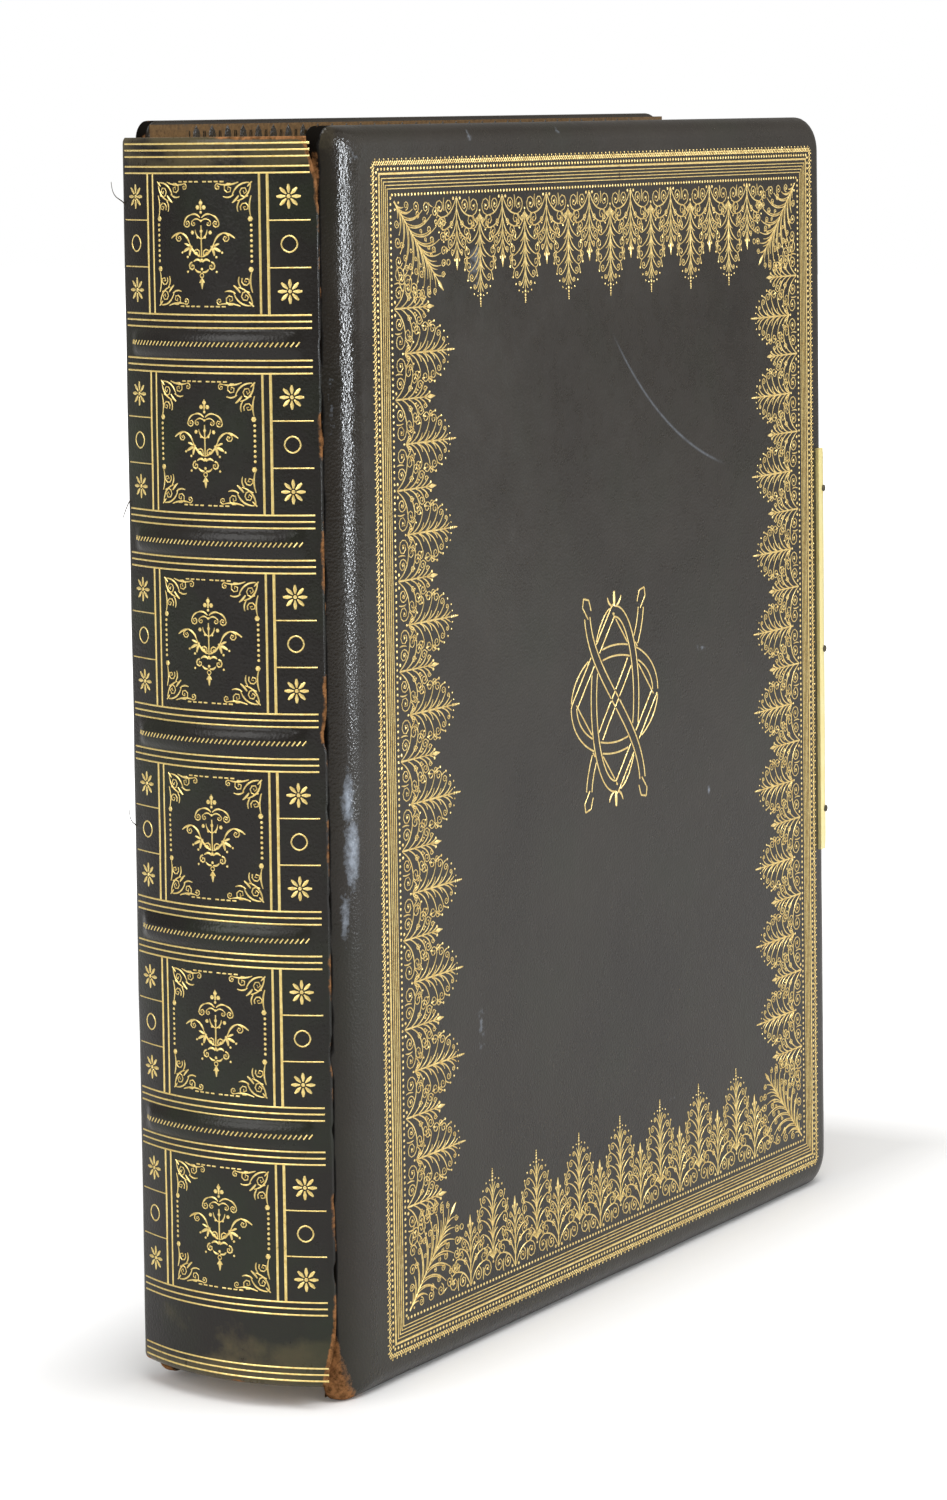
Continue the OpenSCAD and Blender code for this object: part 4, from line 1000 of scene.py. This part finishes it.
tooling = {
    "columnWide": 9.6, "sideStep": 2.2, "fieldGap": 1.2, "line": 0.56, "lineCount": 3, "ropePitch": 1.15,
    "rope": 0.42,
}
sideOut = lineHalf - tooling["columnWide"]
sideIn = sideOut - tooling["sideStep"]
fieldHalf = sideIn - tooling["fieldGap"]
fieldTall = panelTall - 2 * tooling["fieldGap"] - 0.8
starAt = sideOut + tooling["columnWide"] / 2
panelMoves = [(0, z, 0, 1) for z in panelHeights]


# lines across the spine beside each band and at head and tail, and slanted dashes along the bands
def spineLineParts():
    step, points = spine["lineStep"], 40
    tailLine, headLine = spineBottom + spine["tailSpace"], spineTop - spine["headSpace"]
    heights = [headLine, headLine + step]
    for k in range(tooling["lineCount"]):
        heights += [band + side * (groupIn + k * step) for band in bandHeights for side in (-1, 1)]
        heights += [spineTop - (k + 1) * step, tailLine - k * step, spineBottom + (k + 1) * step]
    across = np.linspace(-lineHalf, lineHalf, points)
    strokes = [(np.stack([across, np.full(points, height)], -1), tooling["line"]) for height in heights]
    lines, widths = strokeSet(strokes, points)
    ropeHalf = lineHalf - spine["bandEnd"] + 1
    twist = np.arange(-ropeHalf, ropeHalf, tooling["ropePitch"])
    ropes = [([(s - 0.4, band - 0.5), (s, band), (s + 0.4, band + 0.5)], tooling["rope"])
             for band in bandHeights for s in twist]
    ropeLines, ropeWidths = strokeSet(ropes, 3)
    return [strokeMesh(lines, widths, onSpine), strokeMesh(ropeLines, ropeWidths, onSpine)]


# upright lines, cell lines, the field's dashes and pearls, and its corner scrolls
def spinePanelParts():
    strokes, dots = [], []
    high = panelTall / 2 - 0.2
    for side in (-1, 1):
        for line, wide in ((sideIn + 0.3, 0.75), (sideOut, 0.9)):
            strokes.append(([(side * line, -high), (side * line, 0), (side * line, high)], wide))
        for z in (-panelTall / 6, panelTall / 6):
            strokes.append(([(side * x, z) for x in (sideOut + 0.3, sideOut + 4, lineHalf)], 0.42))
        for z in np.arange(-fieldTall / 2 + 10.4, fieldTall / 2 - 10, 1.15):
            dots.append((side * (fieldHalf - 0.5), z, 0.42))
        for z in (-1, 1):
            dots.append((side * (fieldHalf - 0.7), z * (fieldTall / 2 - 8.6), 0.72))
        for x in np.arange(0.6, fieldHalf - 7.2, 1.5):
            for sign in (-1, 1):
                dash = [(sign * (x + part), side * (fieldTall / 2 - 0.3)) for part in (0, 0.5, 1.0)]
                strokes.append((dash, 0.48))
    corner = [curl(2.1, 2.5, 1.35, 2.4, -1.5, 0.46), sweep((0.5, 0.9), (3.8, 4.6), 0.36, 0.5),
              sweep((0.9, 0.5), (5.0, 3.4), -0.36, 0.5), sweep((3.4, 3.4), (5.0, 5.0), 0.1, 0.6),
              curl(5.9, 1.9, 1.3, 4.2, 1.5, 0.46), curl(1.9, 6.0, 1.2, 0.6, -1.5, 0.46),
              sweep((3.4, 0.4), (8.4, 0.8), 0.16, 0.48), sweep((0.4, 3.4), (0.6, 8.0), -0.16, 0.48),
              curl(8.6, 1.5, 0.8, 4.4, 1.4, 0.42), sweep((4.6, 3.2), (7.2, 3.6), 0.3, 0.45),
              sweep((3.2, 4.6), (3.6, 7.0), -0.3, 0.45), sweep((0.2, 0.3), (1.3, 1.4), 0, 0.5)]
    for turn in np.array([(x, z) for x in (1, -1) for z in (1, -1)]):
        foot = -turn * (fieldHalf, fieldTall / 2)
        strokes += [(foot + np.asarray(line) * turn, width) for line, width in corner]
    return stampedParts((strokeSet(strokes), dots), panelMoves, onSpine)


# a candelabra: crown, upper scrolls, two long arms with hanging leaves, lower scrolls and a drop
def candleMotif():
    half = [
        sweep((0.2, 5.9), (2.9, 6.5), 0.35, 0.5), sweep((2.9, 6.5), (4.7, 4.6), 0.30, 0.5),
        curl(3.8, 4.6, 0.95, 0.0, -1.5, 0.46), sweep((0.2, 5.2), (2.2, 5.3), 0.4, 0.42),
        curl(2.0, 4.6, 0.7, 1.2, -1.3, 0.4), sweep((0.2, 1.2), (1.6, 3.2), -0.3, 0.42),
        sweep((0.3, -2.8), (3.4, 0.4), -0.22, 0.58), sweep((3.4, 0.4), (5.8, 2.5), 0.26, 0.6),
        sweep((5.6, 2.5), (8.6, 1.3), 0.18, 0.56), curl(6.3, 1.3, 1.0, 1.4, -1.5, 0.46),
        curl(1.4, -1.9, 1.0, 4.2, -1.5, 0.5), sweep((2.6, -0.4), (3.4, -2.6), 0.1, 0.8),
        sweep((3.2, -0.9), (5.0, -1.7), 0.1, 0.8), sweep((3.3, -0.5), (4.7, 0.1), 0.1, 0.6),
        sweep((0.2, -4.0), (2.2, -3.9), 0.5, 0.6), curl(2.6, -5.0, 1.0, 1.6, -1.4, 0.58),
        sweep((0.2, -6.2), (1.8, -5.6), -0.35, 0.55), sweep((0.0, -7.6), (0.7, -8.6), -0.2, 0.6),
    ]
    middle = [stem((-3.0, 1, 4.2), (0.5, 0.55, 0.5)), stem((-7.8, -8.8, -10), (0.6, 1.1, 0.3)),
              stem((7.6, 8.6, 10.0), (0.6, 0.8, 0.3)), ringStroke(0, -7.0, 0.5, 0.36)]
    dots = [(0.85, 8.2, 0.62), (2.4, 2.6, 0.55), (1.0, 1.5, 0.38), (3.9, -2.9, 0.36), (5.4, -1.9, 0.34),
            (3.9, -6.2, 0.34)]
    axis = [(0, 9.2, 0.62), (0, 7.1, 0.42), (0, 5.2, 0.36), (0, 2.9, 0.5), (0, -3.6, 0.5), (0, -5.6, 0.42)]
    return motifOf(half, middle, dots, axis, 9)


# stars of eight petals in the outer cells of both columns, and a ring in the middle ones
def spineStarParts():
    petals = [([(r * math.cos(a), r * math.sin(a)) for r in (0.7, 1.8, 2.75)], np.array([0.4, 1.25, 0.55]))
              for a in np.arange(8) * math.pi / 4]
    ring = strokeSet([ringStroke(0, 0, 1.85, 0.5)], 17)
    rings = [(side * starAt, z, 0, 1) for z in panelHeights for side in (-1, 1)]
    stars = [(x, z + cell * panelTall / 3, 0, 1) for x, z, _, _ in rings for cell in (-1, 1)]
    return (stampedParts((strokeSet(petals, 7), [(0, 0, 0.55)]), stars, onSpine)
            + stampedParts((ring, []), rings, onSpine))


addGilt("spine_line_tooling", spineLineParts(), "leaves", ("spine_line_gilt",), spineGilt)
addGilt("spine_panel_tooling", spinePanelParts(), "leaves", ("spine_panel_gilt",), spineGilt)
addGilt("spine_ornament_tooling", stampedParts(candleMotif(), panelMoves, onSpine), "leaves",
        ("spine_ornament_gilt",), spineGilt)
addGilt("spine_star_tooling", spineStarParts(), "leaves", ("spine_star_gilt",), spineGilt)
print("album: spine tooled")


# turn-ins: a gold roll with dark spearheads

turnRoll = {"from": 0.9, "to": 13.5, "pitch": 6.4, "spear": 3.6, "tall": 11.8, "spearOut": 0.08}


# a flat gold band between two insets of the board, mitred at its corners
def turnInParts(place):
    low, high = turnRoll["from"], turnRoll["to"]
    sunk, top = -giltSunk - cover["thick"], 0.05 - cover["thick"]
    section = ((low, sunk), (low + 0.1, top), (high - 0.1, top), (high, sunk))
    return mitredBand(section, (coverWide / 2, coverTall / 2), coverWide, coverTall, place)


# spearheads in pairs along each side, pointing at the edge of the board
def spearParts(place):
    tall, wide = turnRoll["tall"], turnRoll["spear"]
    strokes = [stem((1.0, 0.5 * tall, 0.74 * tall, 0.88 * tall, tall), (0.4, 1.2, wide, 0.8 * wide, 0.3))]
    strokes += [([(side * 1.7, 1.0), (side * 2.6, 0.4 * tall), (side * 2.9, 0.9 * tall)],
                 np.array([0.4, 1.2, 0.5]))
                for side in (1, -1)]
    moves = []
    for side in range(4):
        run, other = (coverWide, coverTall) if side % 2 == 0 else (coverTall, coverWide)
        count = int((run - 2 * turnRoll["to"]) // turnRoll["pitch"])
        along = (np.arange(count) + 0.5 - count / 2) * turnRoll["pitch"]
        a, down = side * np.pi / 2, turnRoll["to"] - 0.4 - other / 2
        x = coverWide / 2 + np.cos(a) * along - np.sin(a) * down
        z = coverTall / 2 + np.sin(a) * along + np.cos(a) * down
        moves.append(np.stack(np.broadcast_arrays(x, z, a + np.pi, 1.0), -1))
    return stampedParts((strokeSet(strokes), []), np.concatenate(moves),
                        lambda x, z, out: place(x, z, out - cover["thick"] + turnRoll["spearOut"]))


# the same place, but with its out measured from the inner face towards the leaves
def inward(place):
    return lambda a, h, out: place(a, h, -2 * cover["thick"] - out)


for side, place, body, flip in (("front", onFront, "front_cover", True),
                                ("back", onBack, "back_cover", False)):
    inner = inward(place)
    addGilt(side + "_turn_in_roll", [turnInParts(inner)], body, (side + "_turn_in_gilt",), innerGilt,
            flip=flip)
    addGilt(side + "_turn_in_spears", spearParts(inner), body, (), leather, flip=flip)
print("album: turn-ins tooled")


# finishes of the solids that stay

nodeFinish = {
    boardCard: ("front_board", "back_board", "spine_liner"),
    endpaper: ("front_pastedown", "back_pastedown"),
    gilt: ("front_window_gilt", "back_window_gilt"),
    giltBlock: ("page_block",),
    leafCard: ("front_window_card", "back_window_card"),
    cloth: ("front_hinge_cloth", "back_hinge_cloth"),
    silk: ("head_band", "tail_band"),
    brass: ("catch_plate", "clasp_plate", "clasp_strap", "clasp_hinge_pin"),
    darkPin: ("catch_pins", "clasp_pins"),
}
for finish, names in nodeFinish.items():
    for name in names:
        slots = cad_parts[name].data.materials
        slots.clear()
        slots.append(finish)


# floor, light and camera

stage = {  # lengths in metres; the floor's white share grows with distance: start + slope x
    "floorSize": 6.0, "floorColour": (0.86, 0.86, 0.86), "floorGlow": 1.6, "footprint": (0.148, 0.027),
    "nearStart": 0.04, "nearSlope": 10.0, "nearMost": 0.45, "farStart": -1.3, "farSlope": 4.2,
    "air": (1.0, 0.97, 0.93), "airPower": 0.32,
}
lamps = {  # place, target, width and height in metres, power, colour
    "softRight": ((1.60, -1.52, 0.88), (0.05, 0, 0.17), (1.4, 1.4), 3.3, (1.0, 0.95, 0.90)),
    "strip": ((0.745, -1.35, 0.34), (-0.13, 0, 0.2), (0.07, 0.62), 9, (0.90, 0.95, 1.0)),
    "softLeft": ((-1.6, 0.5, 1.0), (0, 0, 0.15), (1.1, 1.1), 13, (1, 1, 1)),
    "softTop": ((-0.4, -0.6, 2.0), (0, 0, 0.1), (1.6, 1.6), 34, (1, 1, 1)),
}


# white to the camera, with the object's shadow kept on it
def floorMaterial():
    material, tree, shader = newMaterial("studioFloor")
    shader.inputs["Base Color"].default_value = (*stage["floorColour"], 1)
    shader.inputs["Roughness"].default_value = 0.75
    glow = addNode(tree, "ShaderNodeEmission", Strength=stage["floorGlow"])
    glow.inputs["Color"].default_value = (1, 1, 1, 1)
    mix = tree.nodes.new("ShaderNodeMixShader")
    path = tree.nodes.new("ShaderNodeLightPath")
    output = next(n for n in tree.nodes if n.type == "OUTPUT_MATERIAL")
    where = coordinates(tree)
    away = vectorNode(tree, "LENGTH", where).outputs["Value"]
    apart = tree.nodes.new("ShaderNodeSeparateXYZ")
    tree.links.new(where, apart.inputs["Vector"])
    gaps = []
    for place, half in zip(apart.outputs, stage["footprint"]):
        gaps.append(calc(tree, "MAXIMUM", calc(tree, "SUBTRACT", calc(tree, "ABSOLUTE", place), half), 0.0))
    near = calc(tree, "SQRT",
                calc(tree, "MULTIPLY_ADD", gaps[0], gaps[0], calc(tree, "MULTIPLY", gaps[1], gaps[1])))
    near = calc(tree, "MULTIPLY_ADD", near, stage["nearSlope"], stage["nearStart"])
    near = calc(tree, "MINIMUM", near, stage["nearMost"])
    far = calc(tree, "MULTIPLY_ADD", away, stage["farSlope"], stage["farStart"], True)
    share = calc(tree, "MAXIMUM", near, far)
    tree.links.new(calc(tree, "MULTIPLY", path.outputs["Is Camera Ray"], share), mix.inputs["Fac"])
    tree.links.new(shader.outputs["BSDF"], mix.inputs[1])
    tree.links.new(glow.outputs["Emission"], mix.inputs[2])
    tree.links.new(mix.outputs["Shader"], output.inputs["Surface"])
    return material


# a white floor, and a world that is white to the camera and soft light to the object
def makeStage():
    size, steps = stage["floorSize"], 9
    x, y = np.meshgrid(np.linspace(-size, size, steps), np.linspace(-size, size, steps))
    points = np.stack([x, y, np.zeros_like(x)], -1).reshape(-1, 3) * 1000
    floor = addMesh("studio_floor", points, [tubeFaces(steps, steps, closeCols=False)], floorMaterial(),
                    None)
    world = bpy.data.worlds.new("studio")
    world.use_nodes = True
    bpy.context.scene.world = world
    tree = world.node_tree
    soft = next(n for n in tree.nodes if n.type == "BACKGROUND")
    soft.inputs["Color"].default_value = (*stage["air"], 1)
    soft.inputs["Strength"].default_value = stage["airPower"]
    white = tree.nodes.new("ShaderNodeBackground")
    white.inputs["Color"].default_value = (1, 1, 1, 1)
    path = tree.nodes.new("ShaderNodeLightPath")
    mix = tree.nodes.new("ShaderNodeMixShader")
    output = next(n for n in tree.nodes if n.type == "OUTPUT_WORLD")
    tree.links.new(path.outputs["Is Camera Ray"], mix.inputs["Fac"])
    tree.links.new(soft.outputs["Background"], mix.inputs[1])
    tree.links.new(white.outputs["Background"], mix.inputs[2])
    tree.links.new(mix.outputs["Shader"], output.inputs["Surface"])


# a rectangle of light at a place, aimed at a target
def areaLight(name, place, target, size, power, colour):
    data = bpy.data.lights.new(name, "AREA")
    data.shape, data.energy, data.color = "RECTANGLE", power, colour
    data.size, data.size_y = size
    light = bpy.data.objects.new(name, data)
    bpy.context.scene.collection.objects.link(light)
    light.location = place
    light.rotation_euler = (Vector(target) - light.location).to_track_quat("-Z", "Y").to_euler()


eye = {  # place in metres, angles in degrees, focal length and picture height in pixels, shift of the lens
    "place": (-0.9730, -0.5649, 0.2927), "yaw": 58.85, "pitch": 4.55, "roll": 0.76, "focal": 4442,
    "tall": 1500, "shift": -0.19, "sensor": 36,
}


# forward f = (sin y cos p, cos y cos p, -sin p), right r = (cos y, -sin y, 0), turned by the roll
def makeCamera():
    yaw, pitch, roll = (math.radians(eye[k]) for k in ("yaw", "pitch", "roll"))
    forward = np.array([math.sin(yaw) * math.cos(pitch), math.cos(yaw) * math.cos(pitch), -math.sin(pitch)])
    right = np.array([math.cos(yaw), -math.sin(yaw), 0])
    down = np.cross(forward, right)
    across = math.cos(roll) * right + math.sin(roll) * down
    below = -math.sin(roll) * right + math.cos(roll) * down
    data = bpy.data.cameras.new("camera")
    data.sensor_width, data.shift_y = eye["sensor"], eye["shift"]
    data.lens = eye["focal"] / eye["tall"] * eye["sensor"]
    data.clip_start, data.clip_end = 0.05, 30
    camera = bpy.data.objects.new("camera", data)
    bpy.context.scene.collection.objects.link(camera)
    turn = Matrix([[across[i], -below[i], -forward[i]] for i in range(3)]).to_4x4()
    camera.matrix_world = Matrix.Translation(eye["place"]) @ turn
    bpy.context.scene.camera = camera


makeStage()
for name, lamp in lamps.items():
    areaLight(name, *lamp)
makeCamera()
bpy.context.scene.view_settings.view_transform = "Standard"
print("album: stage, lights and camera ready")
